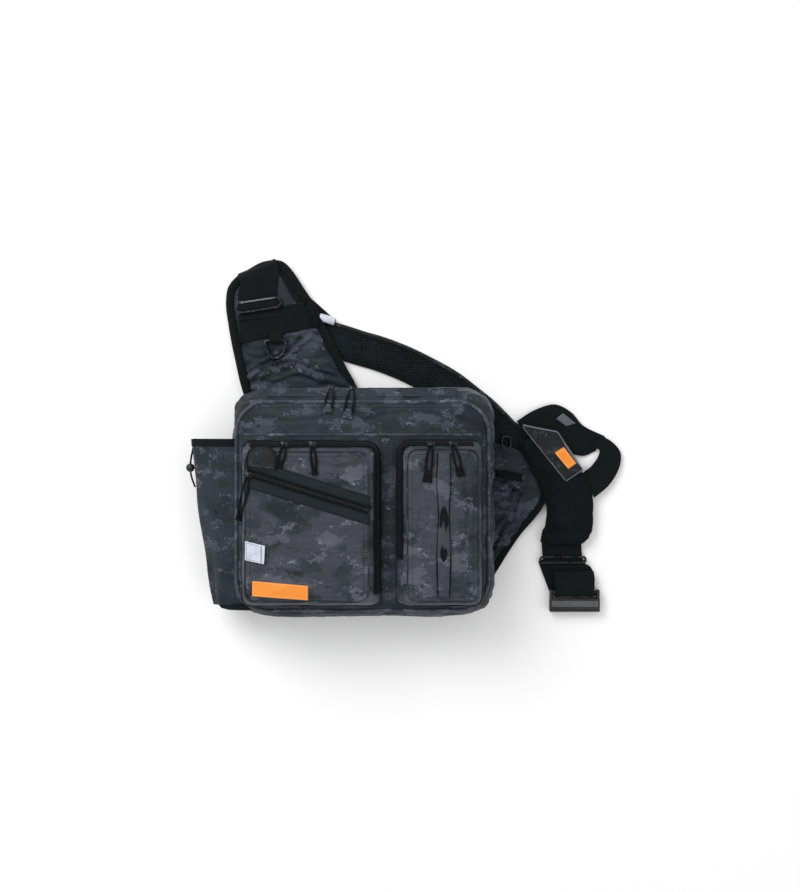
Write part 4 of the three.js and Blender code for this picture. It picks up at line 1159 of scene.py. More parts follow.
@dataclass
class BagBody:
    """The slumped, zipped body with its pipings, back panel and main zip."""

    levels: tuple[tuple[float, ...], ...] = (
        (0, -0.92, 0.92, 0.92, -0.92), (0.12, -0.965, 0.96, 0.955, -0.965), (0.32, -0.995, 1.0, 0.98, -0.995),
        (0.55, -1, 1.01, 0.98, -1), (0.78, -0.98, 0.992, 0.955, -0.97), (0.93, -0.95, 0.955, 0.85, -0.92),
        (1, -0.915, 0.915, 0.815, -0.89))
    corner: float = 36.0
    piping: float = 2.1
    filling: Filling = Filling(pressure=3.5, voxel=5.0, most=5.0)
    zip_level: float = 0.72
    zip_half: float = 114.0
    creases: tuple[Crease, ...] = (
        Crease(((-0.9, 0.74), (-0.6, 0.69), (-0.2, 0.73)), 1.3, 2.6),
        Crease(((0.0, 0.7), (0.35, 0.76), (0.8, 0.7)), 1.3, 2.8),
        Crease(((0.2, 0.5), (0.19, 0.0), (0.21, -0.8)), 1.5, 2.2),
        Crease(((-0.86, -0.93), (-0.5, -0.95), (0.0, -0.93)), 1.2, 1.8),
    )
    shell: bmesh.types.BMesh = field(init=False)

    def sides(self, level: float) -> Sides:
        """Gives the body's outline at a share of its depth."""
        columns = np.array(self.levels)
        return Sides.of(*(float(np.interp(level, columns[:, 0], columns[:, i])) for i in (1, 2, 3, 4)))

    def form(self) -> bmesh.types.BMesh:
        """Lofts the shell through its levels and crowns its two panels."""
        rings = []
        for share in (0.05, 0.3, 0.55, 0.8, 0.93):
            sides = self.sides(0)
            rings.append(self.shrunk(sides, share, BODY_BACK + 0.2))
        for level in np.linspace(0, 1, 22):
            rings.append(self.sides(level).ring(self.corner, BODY_BACK + level * BODY_DEPTH, 168))
        for share in (0.95, 0.85, 0.68, 0.5, 0.3, 0.05):
            crown = BODY_BACK + BODY_DEPTH - 0.4 - 1.4 * (1 - share)
            rings.append(self.shrunk(self.sides(1), share, crown))
        return ringed(rings)

    def shrunk(self, sides: Sides, share: float, z: float) -> list[Vector]:
        """Gives a ring drawn in towards the panel's middle."""
        middle = Vector(((sides.left + sides.right) / 2, (sides.top + sides.bottom) / 2, z))
        ring = sides.ring(self.corner, z, 168)
        return [middle + (point - middle) * share for point in ring]

    def sewn(self, point: Vector) -> bool:
        """Tells where the cloth is held: along the pipings, the zip and the panels' edges."""
        level = (point.z - BODY_BACK) / BODY_DEPTH
        on_zip = point.y > 112 and abs(point.x) < self.zip_half + 6 and abs(level - self.zip_level) < 0.13
        return abs(level - 0.93) < 0.05 or abs(level - 0.08) < 0.05 or level < 0.02 or on_zip

    def slack(self, point: Vector) -> float:
        """Tells how loose the cloth is: not at the pipings, the zip or under the pockets."""
        level = (point.z - BODY_BACK) / BODY_DEPTH
        seam = min(1.0, abs(level - 0.93) / 0.09, abs(level - 0.08) / 0.09)
        if point.y > 112 and abs(point.x) < self.zip_half + 14:
            seam = min(seam, max(0.0, (abs(level - self.zip_level) - 0.1) / 0.06))
        front = point.z > BODY_BACK + BODY_DEPTH - 3
        return 0.45 if front else max(0.0, seam)

    def piping_ring(self, level: float, out: float = 0.8) -> list[Vector]:
        """Gives the path of a piping round the body."""
        return self.sides(level).grown(out).ring(self.corner + out, BODY_BACK + level * BODY_DEPTH, 220)

    def build(self) -> list[bpy.types.Object]:
        """Makes the body's pieces."""
        shell = self.filling.swell(self.form(), self.sewn)
        shell = refined(shell)
        crumpled(shell, [(3.6, (80, 30, 40), 0.35), (2.4, (34, 13, 20), 0.5), (0.8, (12, 8, 9), 0.35)],
                 self.slack, 3.1)
        for crease in self.creases:
            crease.press(shell)
        self.shell = shell.copy()
        pieces = [finished(shell, "body_shell", BODY_CAMO, ["body_shell"])]
        # The front piping takes the lighter trim camo as a painted highlight along it.
        for name, level, finish in (("front_piping", 0.93, TRIM_CAMO), ("back_piping", 0.08, TAPE)):
            ring = self.piping_ring(level, 0.8)
            pieces.append(finished(tube(ring, self.piping, 10, closed=True), name, finish, [name]))
        stitch_ring = self.sides(0.985).grown(-2.0).ring(self.corner - 3, 0.0, 220)
        ground = Ground(self.shell)
        line = ground.line(stitch_ring, 0.15, BODY_BACK + BODY_DEPTH, 0)
        stitches = grains(line + line[:1], UP, 3.4, (2.3, 0.7, 0.6))
        pieces.append(finished(stitches, "front_seam_stitches", THREAD))
        pieces += self.top_band(ground) + self.main_zip(ground) + self.back()
        return pieces

    def top_band(self, ground: Ground) -> list[bpy.types.Object]:
        """Makes the seam across the front, under the top band."""
        line = [Vector((x, y_at(0.575), 0)) for x in np.linspace(x_at(-0.9), x_at(0.9), 90)]
        path = ground.line(line, 0.1, BODY_BACK + BODY_DEPTH, 1)
        # The seam ridge takes the lighter trim camo as a painted highlight along it.
        ridge = tube(path, 1.5, 8, flat=0.6)
        stitches = grains([p + Vector((0, 3.2, 0.25)) for p in path], UP, 3.2, (2.2, 0.7, 0.6))
        return [
            finished(ridge, "band_seam_tape", TRIM_CAMO, ["band_seam_tape"]),
            finished(stitches, "band_seam_stitches", PALE_THREAD),
        ]

    def main_zip(self, ground: Ground) -> list[bpy.types.Object]:
        """Makes the zip in the top wall and its two pulls."""
        top = self.sides(self.zip_level).top
        z = BODY_BACK + self.zip_level * BODY_DEPTH
        path = [Vector((x, top - 0.6, z)) for x in np.linspace(-self.zip_half, self.zip_half, 60)]
        pieces = Zip(tape=6.5).build("main_zip", path, [Vector((0, 1, 0.12))] * 60, ["main_zip"])
        upper, lower = self.zip_level + 0.15, self.zip_level + 0.05
        flap = [(x, self.sides(upper).top + 1.2, BODY_BACK + upper * BODY_DEPTH,
                 x, self.sides(lower).top + 3.2, BODY_BACK + lower * BODY_DEPTH)
                for x in np.linspace(-self.zip_half - 1.5, self.zip_half + 1.5, 40)]
        folds = [(0.7, (26, 20, 20), 0.3)]
        pieces.append(finished(crumpled(band(flap, 1.4, 110, 4), folds), "main_zip_flap", BODY_CAMO))
        for pull in (Pull("main_pull_left", -0.235, 27, 4.6, 11, -8, True, 1.7),
                     Pull("main_pull_right", -0.075, 35, 5.0, 12, -9, True, 1.7)):
            start = Vector((x_at(pull.x), top + 1.5, z + 2.0))
            pieces += pull.build(start, ground, z, [pull.name], Vector((1, 0, 0)))
        return pieces

    def back(self) -> list[bpy.types.Object]:
        """Makes the padded mesh panel that the bag lies on."""
        sides = self.sides(0)
        rings = [self.shrunk(sides.grown(-20), share, 0.0) for share in (0.05, 0.4, 0.7, 0.95)]
        for level, inset in ((0.0, 0.5), (0.18, 0.3), (0.4, 0.14), (0.75, 0.02), (1.0, 0.0)):
            rings.append(sides.grown(-inset * self.corner).ring(self.corner, level * 10, 168))
        rings.append(self.shrunk(sides, 0.9, 10.1))
        rings.append(self.shrunk(sides, 0.05, 10.1))
        panel = finished(ringed(rings), "back_panel", AIR_MESH, ["back_panel"])
        return [panel]


@dataclass
class FrontPocket:
    """A zipped pocket that stands off the body's front."""

    name: str
    base: Sides
    face: Sides
    zip_side: Side
    zip_across: float
    zip_down: float
    corner: float = 12.0
    filling: Filling = Filling(pressure=3.0, voxel=3.6, most=2.6)
    seed: float = 1.0
    creases: tuple[Crease, ...] = ()
    shell: bmesh.types.BMesh = field(init=False)

    LEVELS = ((0, 0, 0), (0.45, 0.35, 0), (0.82, 0.85, 0), (0.95, 1, 0.12), (1, 1, 0.3))

    def ring(self, rise: float, count: int = 150, out: float = 0.0) -> list[Vector]:
        """Gives the pocket's outline at a share of its depth."""
        table = np.array(self.LEVELS)
        slope, roll = (float(np.interp(rise, table[:, 0], table[:, i])) for i in (1, 2))
        sides = self.base.mixed(self.face, slope).grown(out - roll * self.corner)
        return sides.ring(self.corner + out, POCKET_BACK + rise * POCKET_DEPTH, count)

    def form(self) -> bmesh.types.BMesh:
        """Lofts the pocket and crowns its face."""
        rings = []
        for share in (0.05, 0.5, 0.9):
            rings.append(self.inward(0.0, share, 0.0))
        rings += [self.ring(rise) for rise in np.linspace(0, 1, 12)]
        rings += [self.inward(1.0, share, -1.6 * (1 - share)) for share in (0.96, 0.85, 0.65, 0.4, 0.05)]
        return ringed(rings)

    def inward(self, rise: float, share: float, lift: float) -> list[Vector]:
        """Gives a ring drawn in towards the face's middle."""
        ring = self.ring(rise)
        middle = sum(ring, Vector()) / len(ring)
        return [middle + (p - middle) * share + Vector((0, 0, lift)) for p in ring]

    def sewn(self, point: Vector) -> bool:
        """Tells where the cloth is held: at the base and round the face's edge."""
        rise = (point.z - POCKET_BACK) / POCKET_DEPTH
        inset = min(point.x - self.face.left, self.face.right - point.x, self.face.top - point.y,
                    point.y - self.face.bottom)
        return rise < 0.9 or inset < 7

    def slack(self, point: Vector) -> float:
        """Tells how loose the cloth is."""
        rise = (point.z - POCKET_BACK) / POCKET_DEPTH
        inset = min(point.x - self.face.left, self.face.right - point.x, self.face.top - point.y,
                    point.y - self.face.bottom)
        return 0.25 if rise < 0.85 else max(0.15, min(1.0, (inset - 2) / 14))

    def zip_path(self, rise: float, out: float) -> list[Vector]:
        """Gives the zip's line along the top wall and down one side."""
        count, far_off = 480, 1e12
        ring = self.ring(rise, count, out)
        right = self.zip_side is Side.RIGHT
        first = Vector((x_at(self.zip_across), self.base.top, 0))

        def from_start(i: int) -> float:
            """Gives how far a point in the top wall is from the zip's start."""
            return (ring[i] - first).length_squared if ring[i].y > self.face.top - 20 else far_off

        def from_stop(i: int) -> float:
            """Gives how far a point in the side wall is from the height of the zip's end."""
            inside = ring[i].x < self.face.right - 2 if right else ring[i].x > self.face.left + 2
            return far_off if inside else abs(ring[i].y - y_at(self.zip_down))

        start, stop = min(range(count), key=from_start), min(range(count), key=from_stop)
        if right:
            run = [ring[i % count] for i in range(stop - count if stop > start else stop, start + 1)]
            run.reverse()
        else:
            run = [ring[i] for i in range(start, stop + 1)]
        return run[::4]

    def outward(self, path: Sequence[Vector]) -> list[Vector]:
        """Gives the way out of the wall at each point of the zip."""
        ways = []
        turn = 1 if self.zip_side is Side.RIGHT else -1
        for i in range(len(path)):
            ahead = path[min(i + 1, len(path) - 1)] - path[max(i - 1, 0)]
            way = Vector((-ahead.y, ahead.x, 0)).normalized() * turn
            ways.append((way + Vector((0, 0, 0.55))).normalized())
        return ways

    def build(self) -> list[bpy.types.Object]:
        """Makes the pocket's shell, its edge piping, its stitches and its zip."""
        shell = refined(self.filling.swell(self.form(), self.sewn))
        crumpled(shell, [(2.6, (50, 26, 40), 0.3), (1.3, (22, 12, 20), 0.45), (0.4, (8, 6, 8), 0.2)],
                 self.slack, self.seed)
        for crease in self.creases:
            crease.press(shell)
        self.shell = shell.copy()
        pieces = [finished(shell, f"{self.name}_pocket", POCKET_CAMO, [f"{self.name}_pocket"])]
        edge = self.ring(0.955, 200, 0.25)
        pieces.append(finished(tube(edge, 0.9, 8, closed=True), f"{self.name}_pocket_edge", BODY_CAMO))
        ground = Ground(self.shell)
        inner = self.face.grown(-7.5).ring(self.corner - 4, 0, 200)
        line = ground.line(inner, 0.12, POCKET_FRONT, 0)
        stitches = grains(line + line[:1], UP, 3.2, (2.2, 0.7, 0.5))
        pieces.append(finished(stitches, f"{self.name}_pocket_stitches", THREAD))
        path = self.zip_path(0.5, 0.9)
        pieces += Zip(tape=7.5).build(f"{self.name}_pocket_zip", path, self.outward(path),
                                      [f"{self.name}_pocket_zip"])
        foot = self.ring(0.03, 200, 0.6)
        pieces.append(finished(tube(foot, 1.1, 6, closed=True), f"{self.name}_pocket_foot_seam", BODY_CAMO))
        return pieces


@dataclass
class LeftPocket(FrontPocket):
    """The large front pocket with the slanting zip, the label and the reflective tab."""

    upper: tuple = ((-0.865, 0.385), (0.066, 0.0545))
    lower: tuple = ((-0.865, 0.13), (0.066, -0.192))
    tab: tuple = ((-0.875, -0.322), (-0.723, -0.364), (-0.73, -0.52), (-0.875, -0.485))
    label: tuple = ((-0.82, -0.66), (-0.4, -0.7), (-0.4, -0.825), (-0.82, -0.79))

    def build(self) -> list[bpy.types.Object]:
        """Makes the pocket and everything on it."""
        pieces = super().build()
        ground = Ground(self.shell)
        pieces += self.slant(ground) + self.garage(ground) + self.trims(ground) + self.pulls(ground)
        return pieces

    def slant_edge(self, share: float, count: int = 40) -> list[Vector]:
        """Gives the line at a share of the way from the slant's upper to its lower edge."""
        ends = [at(*self.upper[i]).lerp(at(*self.lower[i]), share) for i in (0, 1)]
        return [ends[0].lerp(ends[1], t) for t in np.linspace(0, 1, count)]

    def slant(self, ground: Ground) -> list[bpy.types.Object]:
        """Makes the slanting zip between its two wide tapes."""
        pieces = []
        for name, top, foot in (("slant_tape_upper", 0.0, 0.36), ("slant_tape_lower", 0.64, 1.0)):
            low, high = self.slant_edge(foot), self.slant_edge(top)
            rows = [(*a, *b) for a, b in zip(low, high)]
            strip = band(rows, 1.6, 60, 5)
            pieces.append(finished(ground.laid(strip, 1.0, POCKET_FRONT), name, SLANT_TAPE, [name]))
            for share in (top + 0.035, foot - 0.04):
                line = ground.line(self.slant_edge(share), 2.0, POCKET_FRONT, 0)
                stitches = grains(line, UP, 2.9, (2.0, 0.65, 0.5))
                pieces.append(finished(stitches, f"{name}_stitches_{round(share * 100)}", THREAD))
        line = ground.line(self.slant_edge(0.5, 70), 0.9, POCKET_FRONT, 1)
        pieces += Zip(tape=5.2, coil=2.4).build("slant_zip", line, [UP] * len(line), ["slant_zip"])
        return pieces

    def garage(self, ground: Ground) -> list[bpy.types.Object]:
        """Makes the rounded patch over the zip's top end, with its bound edge."""
        middle, foot = x_at(-0.75), y_at(0.385)
        half, rise = 0.105 * HALF_WIDTH, 0.1 * HALF_HEIGHT
        lower = [Vector((middle - half, foot - 11, 0)), Vector((middle + half, foot - 15, 0))]
        arch = [Vector((middle + half * math.cos(a), foot + rise * math.sin(a), 0))
                for a in np.linspace(0, math.pi, 17)]
        rows = []
        for t in np.linspace(0, 1, 15):
            top_point = arch[16 - round(t * 16)]
            low_point = lower[0].lerp(lower[1], t)
            rows.append((*top_point, *low_point))
        cover = ground.laid(band(rows, 1.8, 26, 8), 3.0, POCKET_FRONT)
        rim = ground.line(smooth_path([lower[0], *arch[::-1], lower[1]], 50), 4.2, POCKET_FRONT, 1)
        stitches = ground.line([Vector((middle, foot, 0)).lerp(p, 0.82) for p in arch], 4.2, POCKET_FRONT, 0)
        return [
            finished(cover, "zip_end_patch", STRAP_CAMO, ["zip_end_patch"]),
            finished(tube(rim, 1.1, 8, flat=0.8), "zip_end_patch_edge", TAPE),
            finished(grains(stitches, UP, 2.8, (1.9, 0.6, 0.5)), "zip_end_patch_stitches", THREAD),
        ]

    def trims(self, ground: Ground) -> list[bpy.types.Object]:
        """Makes the folded reflective tab and the bare label."""
        tab = ground.laid(band(patch_rows(self.tab, 8), 1.4, 20, 10), 1.1, POCKET_FRONT)
        for vert in tab.verts:
            share = (vert.co.x - x_at(-0.875)) / (x_at(-0.725) - x_at(-0.875))
            vert.co.z += 1.6 * max(0.0, share) ** 2
        # Painted shade: a thin dark cord along the tab's fold stands in for the shade in the crease.
        fold_x = x_at(-0.752)
        fold = [Vector((fold_x, y, 0)) for y in np.linspace(y_at(-0.365), y_at(-0.51), 14)]
        folded = tube(ground.line(fold, 3.1, POCKET_FRONT, 0), 0.35, 6)
        label = ground.laid(band(patch_rows(self.label, 10), 1.5, 30, 8), 1.0, POCKET_FRONT)
        rim = hem(self.label, 1.5, ground, 1.95, POCKET_FRONT)
        return [
            finished(tab, "reflective_tab", SILVER, ["reflective_tab"]),
            finished(grains(hem(self.tab, 2.0, ground, 2.4, POCKET_FRONT), UP, 2.2, (1.6, 0.6, 0.5)),
                     "reflective_tab_stitches", THREAD),
            finished(folded, "reflective_tab_fold_shade", THREAD),
            finished(label, "front_label", LABEL, ["front_label"]),
            finished(grains(rim, UP, 2.1, (1.9, 0.9, 0.6)), "front_label_stitches", LABEL_THREAD),
        ]

    def pulls(self, ground: Ground) -> list[bpy.types.Object]:
        """Makes the pocket's two pulls and the slanting zip's own."""
        top = y_at(0.5)
        pieces = []
        for pull in (Pull("left_pocket_pull_a", -0.58, 27, 3.4, 7, -10),
                     Pull("left_pocket_pull_b", -0.37, 35, 3.0, 8, 5)):
            start = Vector((x_at(pull.x), top - 1, SLIDER_HEIGHT))
            pieces += pull.build(start, ground, POCKET_BACK, [pull.name], Vector((1, 0, 0)))
        slant = Pull("slant_pull", -0.85, 56, 3.6, 8, -14)
        start = at(-0.845, 0.24, POCKET_FRONT + 1.5)
        heading = at(*self.upper[1]) - at(*self.upper[0])
        pieces += slant.build(start, ground, BODY_BACK + BODY_DEPTH + 8, ["slant_pull"], heading)
        return pieces


@dataclass
class RightPocket(FrontPocket):
    """The narrow front pocket with the bowed pleat down its middle."""

    middle: float = 0.615
    pleat: tuple = ((0.42, 0.045), (0.2, 0.05), (-0.12, 0.038), (-0.45, 0.05), (-0.8, 0.042))

    def build(self) -> list[bpy.types.Object]:
        """Makes the pocket, its pleat with its painted shade, and its pulls."""
        pieces = super().build()
        ground = Ground(self.shell)
        rows = [(x_at(self.middle + half), y_at(y), 0, x_at(self.middle - half), y_at(y), 0)
                for y, half in self.pleat]
        fold = band(rows, 1.6, 60, 8, lambda s, v: 0.9 * (1 - s * s))
        crumpled(fold, [(1.1, (12, 34, 20), 0.2)], None, 4.4)
        pieces.append(finished(ground.laid(fold, 0.9, POCKET_FRONT), "pocket_pleat", POCKET_CAMO,
                               ["pocket_pleat"]))
        # Painted shade: two dark almond sheets of black tape, laid on the pleat where it opens, stand in for the shade
        # inside the openings.
        for name, high, low, half in (("upper", -0.02, -0.27, 5.0), ("lower", -0.35, -0.5, 4.2)):
            pleat_shade_rows = []
            for t in np.linspace(0.03, 0.97, 12):
                y, wide = y_at(high + (low - high) * t), half * math.sin(math.pi * t) ** 0.7 + 0.2
                pleat_shade_rows.append((x_at(self.middle) + wide, y, 0, x_at(self.middle) - wide, y, 0))
            pleat_shade = ground.laid(band(pleat_shade_rows, 0.8, 24, 6), 2.7, POCKET_FRONT)
            pieces.append(finished(pleat_shade, f"pocket_pleat_shade_{name}", TAPE))
        # Painted shade: dark tape lines along both edges of the pleat stand in for the shade in its folds.
        for name, side in (("left", -1), ("right", 1)):
            edge = smooth_path([at(self.middle + side * half, y) for y, half in self.pleat], 60)
            line = ground.line(edge, 1.0, POCKET_FRONT, 1)
            pieces.append(finished(tube(line, 0.9, 8), f"pocket_pleat_fold_shade_{name}", TAPE))
        for pull in (Pull("right_pocket_pull_a", 0.52, 44, 3.6, 12, -6),
                     Pull("right_pocket_pull_b", 0.685, 38, 3.4, 11, 14)):
            start = Vector((x_at(pull.x), y_at(0.5) - 1, SLIDER_HEIGHT))
            pieces += pull.build(start, ground, POCKET_BACK, [pull.name], Vector((1, 0, 0)))
        return pieces


@dataclass
class SideSleeve:
    """The tapered sleeve on the bag's side, open at its top, with its draw cord's ball."""

    rows: tuple = ((-0.94, 0.42, 0.78), (-0.6, 0.58, 0.86), (0.0, 0.82, 0.95), (0.54, 1.0, 1.0))
    reach: float = 52.0
    depth: float = 66.0
    middle: float = BODY_BACK + BODY_DEPTH * 0.45
    wall: float = 2.4

    def row(self, y: float) -> tuple[float, float]:
        """Gives the sleeve's reach and depth at a share of the height, in millimetres."""
        table = np.array(self.rows)
        reach, tall = (float(np.interp(y, table[:, 0], table[:, i])) for i in (1, 2))
        return reach * self.reach, tall * self.depth

    def sheet(self, low: float, high: float, grow: float, along: int, folds: float,
              foot: bool = False) -> bmesh.types.BMesh:
        """Bends a part of the sleeve round its bulge.

        Args:
            low: The share of the height that it starts at.
            high: The share that it ends at.
            grow: How far outside the sleeve's own form it runs.
            along: The number of faces along it.
            folds: The depth of its soft folds.
            foot: Whether it closes in at the foot.

        Returns:
            The open sheet.
        """
        root = -0.86 * HALF_WIDTH

        def place(u: float, v: float) -> Vector:
            """Puts one point on the sleeve."""
            y = low + (high - low) * v
            reach, tall = self.row(y)
            close = 1 - 0.35 * max(0.0, 1 - v * 3) if foot else 1.0
            angle = math.pi / 2 + u * math.pi
            ripple = folds * math.sin(angle * 7 + y * 3.1) * math.sin(u * math.pi)
            ripple += folds * 1.4 * noise.noise(Vector((u * 3.1, y * 2.2, 5.0)))
            out = (reach + HALF_WIDTH + root) + grow + ripple
            return Vector((root + out * math.cos(angle), y_at(y),
                           self.middle + (tall / 2 * close + grow) * math.sin(angle)))

        return woven(72, along, place, (150, (high - low) * HALF_HEIGHT))

    def walled(self, bm: bmesh.types.BMesh, name: str, finish: Finish, thickness: float,
               nodes: Sequence[str]) -> bpy.types.Object:
        """Gives a sheet its wall, inwards, and finishes it."""
        if sum((f.normal.x) * f.calc_area() for f in bm.faces) > 0:
            bmesh.ops.reverse_faces(bm, faces=bm.faces)
        piece = finished(bm, name, finish, nodes)
        wall = piece.modifiers.new("wall", "SOLIDIFY")
        wall.thickness = thickness * MM
        wall.offset = -1
        return piece

    def build(self) -> list[bpy.types.Object]:
        """Makes the sleeve, its two bindings and the ball."""
        pieces = [
            self.walled(self.sheet(-0.9, 0.49, 0, 70, 2.6, foot=True), "side_sleeve", BODY_CAMO,
                        self.wall, ["side_sleeve"]),
            self.walled(self.sheet(0.475, 0.54, 1.0, 8, 2.4), "sleeve_top_binding", TAPE,
                        self.wall * 1.7, ["sleeve_top_binding"]),
        ]
        foot = []
        root = -0.86 * HALF_WIDTH
        for share, y in ((1.0, -0.885), (1.02, -0.91), (0.98, -0.93), (0.8, -0.945), (0.4, -0.945), (0.06, -0.945)):
            reach, tall = self.row(y)
            out = (reach + HALF_WIDTH + root) * share
            hoop = []
            for a in np.linspace(0, 2 * math.pi, 64, endpoint=False):
                bulge = math.cos(a) if math.cos(a) < 0 else 0.12 * math.cos(a)
                height = self.middle + tall / 2 * 0.72 * share * math.sin(a)
                hoop.append(Vector((root + 6 + out * bulge, y_at(y), height)))
            foot.append(hoop)
        pieces.append(finished(ringed(foot), "sleeve_foot_binding", TAPE, ["sleeve_foot_binding"]))
        reach, _ = self.row(0.29)
        spot = Vector((-HALF_WIDTH - reach - 5.6, y_at(0.29), self.middle))
        ball = bmesh.new()
        bmesh.ops.create_uvsphere(ball, u_segments=24, v_segments=16, radius=5.4,
                                  matrix=Matrix.Translation(spot))
        drawn = [v for v in ball.verts if abs(v.co.z - spot.z) > 4.6]
        bmesh.ops.scale(ball, vec=(0.8, 0.8, 0.96), space=Matrix.Translation(-spot), verts=drawn)
        route = smooth_path([spot + Vector((4, 26, 1)), spot + Vector((1.2, 12, 2)), spot,
                             spot + Vector((1.5, -12, -1)), spot + Vector((6, -24, 0))], 26)
        cord = tube(route, 1.2, 8)
        stopper = finished(ball, "cord_stopper", PLASTIC, ["cord_stopper"])
        draw_cord = finished(cord, "sleeve_draw_cord", CORD)
        run = [point / 1000 for point in route]
        tuple(run[0])
        path_length(run)
        [tuple(point) for point in run]
        pieces += [stopper, draw_cord]
        line = []
        for y in np.linspace(-0.86, 0.46, 60):
            reach, _ = self.row(y)
            line.append(Vector((-HALF_WIDTH - reach - 0.2, y_at(y), self.middle + 3)))
        stitches = grains(line, Vector((-1, 0, 0)), 3.4, (2.3, 0.7, 0.6))
        pieces.append(finished(stitches, "sleeve_side_stitches", THREAD))
        return pieces


@dataclass
class ShoulderPad:
    """The padded, bound wing above the body with its webbing, slider and ring."""

    rows: tuple = (
        (0.93, -0.94, -0.02), (1.02, -0.965, -0.06), (1.17, -1.0, -0.145), (1.32, -1.033, -0.223),
        (1.47, -1.06, -0.302), (1.66, -1.08, -0.404), (1.76, -1.064, -0.472), (1.84, -1.0, -0.525),
        (1.9, -0.9, -0.57), (1.955, -0.79, -0.63))
    back: float = 4.3
    thick: float = 10.0
    binding: float = 10.0
    patch: tuple = ((-0.985, 1.545), (-0.4, 1.66), (-0.35, 1.46), (-0.97, 1.325))
    filling: Filling = Filling(pressure=4.0, voxel=4.0, most=3.0)
    creases: tuple[Crease, ...] = (
        Crease(((-0.38, 1.46), (-0.52, 1.33), (-0.85, 1.13), (-0.97, 1.08)), 4.4, 3.0),
        Crease(((-0.88, 0.96), (-0.84, 1.07), (-0.53, 1.18), (-0.35, 1.11), (-0.16, 1.06)), 3.2, 3.0),
        Crease(((-0.72, 1.02), (-0.5, 1.08), (-0.3, 1.0)), 2.2, 2.4),
        Crease(((-0.93, 1.25), (-0.8, 1.22), (-0.7, 1.28)), 1.8, 2.2),
    )
    pad: bmesh.types.BMesh = field(init=False)

    def edge_path(self, inset: float, z: float, count: int = 150) -> list[Vector]:
        """Gives the pad's outline from its left foot over the end to its right foot."""
        points = [at(left, y, z) for y, left, _ in self.rows]
        points += [at(right, y, z) for y, _, right in reversed(self.rows)]
        line = smooth_path(points, count)
        moved = []
        for i, point in enumerate(line):
            ahead = (line[min(i + 1, count - 1)] - line[max(i - 1, 0)]).normalized()
            moved.append(point + Vector((ahead.y, -ahead.x, 0)) * inset)
        return moved

    def build(self) -> list[bpy.types.Object]:
        """Makes the pad and everything on it."""
        inset = self.binding * 0.55
        rows = []
        for i, (y, left, right) in enumerate(self.rows):
            down = inset if i == len(self.rows) - 1 else (inset * 0.6 if i > 5 else 0)
            rows.append((x_at(left) + inset, y_at(y) - down, self.back + 4.2,
                         x_at(right) - inset, y_at(y) - down, self.back + 4.2))
        form = band(rows, 5.0, 70, 22,
                    lambda s, v: 2.6 * (1 - abs(s) ** 3) * (1 - max(0, (v - 0.86) / 0.14) ** 2), 6)
        pad = refined(self.filling.swell(form, lambda p: False))
        for vert in pad.verts:
            vert.co.z = max(vert.co.z, self.back - 0.6)

        def weight(point: Vector) -> float:
            """Folds the pad where it leaves the body."""
            return 0.15 + 0.85 * max(0.0, min(1.0, (y_at(1.42) - point.y) / 40))

        crumpled(pad, [(5.0, (60, 14, 30), 0.45), (1.8, (24, 9, 12), 0.5)], weight, 7.7)
        for crease in self.creases:
            crease.press(pad)
        self.pad = pad.copy()
        ground = Ground(self.pad)
        piece = finished(pad, "shoulder_pad", BODY_CAMO, ["shoulder_pad"])
        rim = self.edge_path(self.binding * 0.6, self.back + 3.8)
        edge = tube(rim, self.binding * 0.62, 14, flat=0.56)
        line = [p + Vector((0, 0, 3.2)) for p in self.edge_path(self.binding * 0.95, self.back + 3.8, 200)]
        pieces = [
            piece,
            finished(edge, "pad_binding", TAPE, ["pad_binding"]),
            finished(grains(line, UP, 3.0, (2.1, 0.7, 0.6)), "pad_binding_stitches", THREAD),
        ]
        return pieces + self.fittings(ground)

    def fittings(self, ground: Ground) -> list[bpy.types.Object]:
        """Makes the patch, the wide webbing, its slider, and the ring in its loop."""
        top = self.back + self.thick
        patch = ground.laid(band(patch_rows(self.patch, 12), 1.6, 40, 14), 0.9, top)
        face = Ground(patch.copy(), self.pad)
        pieces = [
            finished(patch, "pad_patch", WEBBING, ["pad_patch"]),
            finished(grains(hem(self.patch, 2.4, face, 0.2, top), UP, 3.0, (2.1, 0.7, 0.6)),
                     "pad_patch_stitches", THREAD),
        ]
        shoulder = [(*at(a, b), *at(c, d)) for a, b, c, d in
                    ((-0.7, 1.93, -0.6, 1.92), (-0.61, 1.78, -0.5, 1.78), (-0.527, 1.646, -0.42, 1.66))]
        panel = ground.laid(band(shoulder, 1.4, 24, 8), 0.5, top - 3)
        pieces.append(finished(panel, "pad_shoulder_panel", TAPE))
        origin, heading = at(-0.82, 1.62), math.radians(95)
        ahead = Vector((math.cos(heading), math.sin(heading), 0))
        aside = Vector((math.sin(heading), -math.cos(heading), 0))
        ground_z = 17.6
        fold = (at(-0.985, 1.85), at(-0.69, 1.968))
        out = Vector((fold[0].y - fold[1].y, fold[1].x - fold[0].x, 0)).normalized()

        def row(along: float, low: float) -> tuple[float, ...]:
            """Gives the webbing's two edges so far from the slider."""
            middle = origin + ahead * along + Vector((0, 0, low))
            return (*(middle - aside * 25), *(middle + aside * 25))

        def end(distance: float, z: float) -> tuple[float, ...]:
            """Gives the two edges where the webbing folds over the pad's end."""
            shift = out * distance + Vector((0, 0, z))
            return (*(fold[0] + shift), *(fold[1] + shift))

        rows = [row(-17, ground_z), row(-8.5, ground_z), row(-3.2, ground_z + 3.4), row(3.2, ground_z + 3.4),
                row(7.5, ground_z + 0.4), row(15, ground_z), end(-9, ground_z - 0.4), end(-4, ground_z - 1.2),
                end(0.2, ground_z - 6), end(1.4, 6.5), end(0.5, 3.0)]
        strip = band(rows, 2.0, 90, 8)
        pieces.append(finished(strip, "pad_webbing", WEBBING, ["pad_webbing"]))
        pieces += self.slider(origin, heading)
        pieces += self.ring()
        return pieces

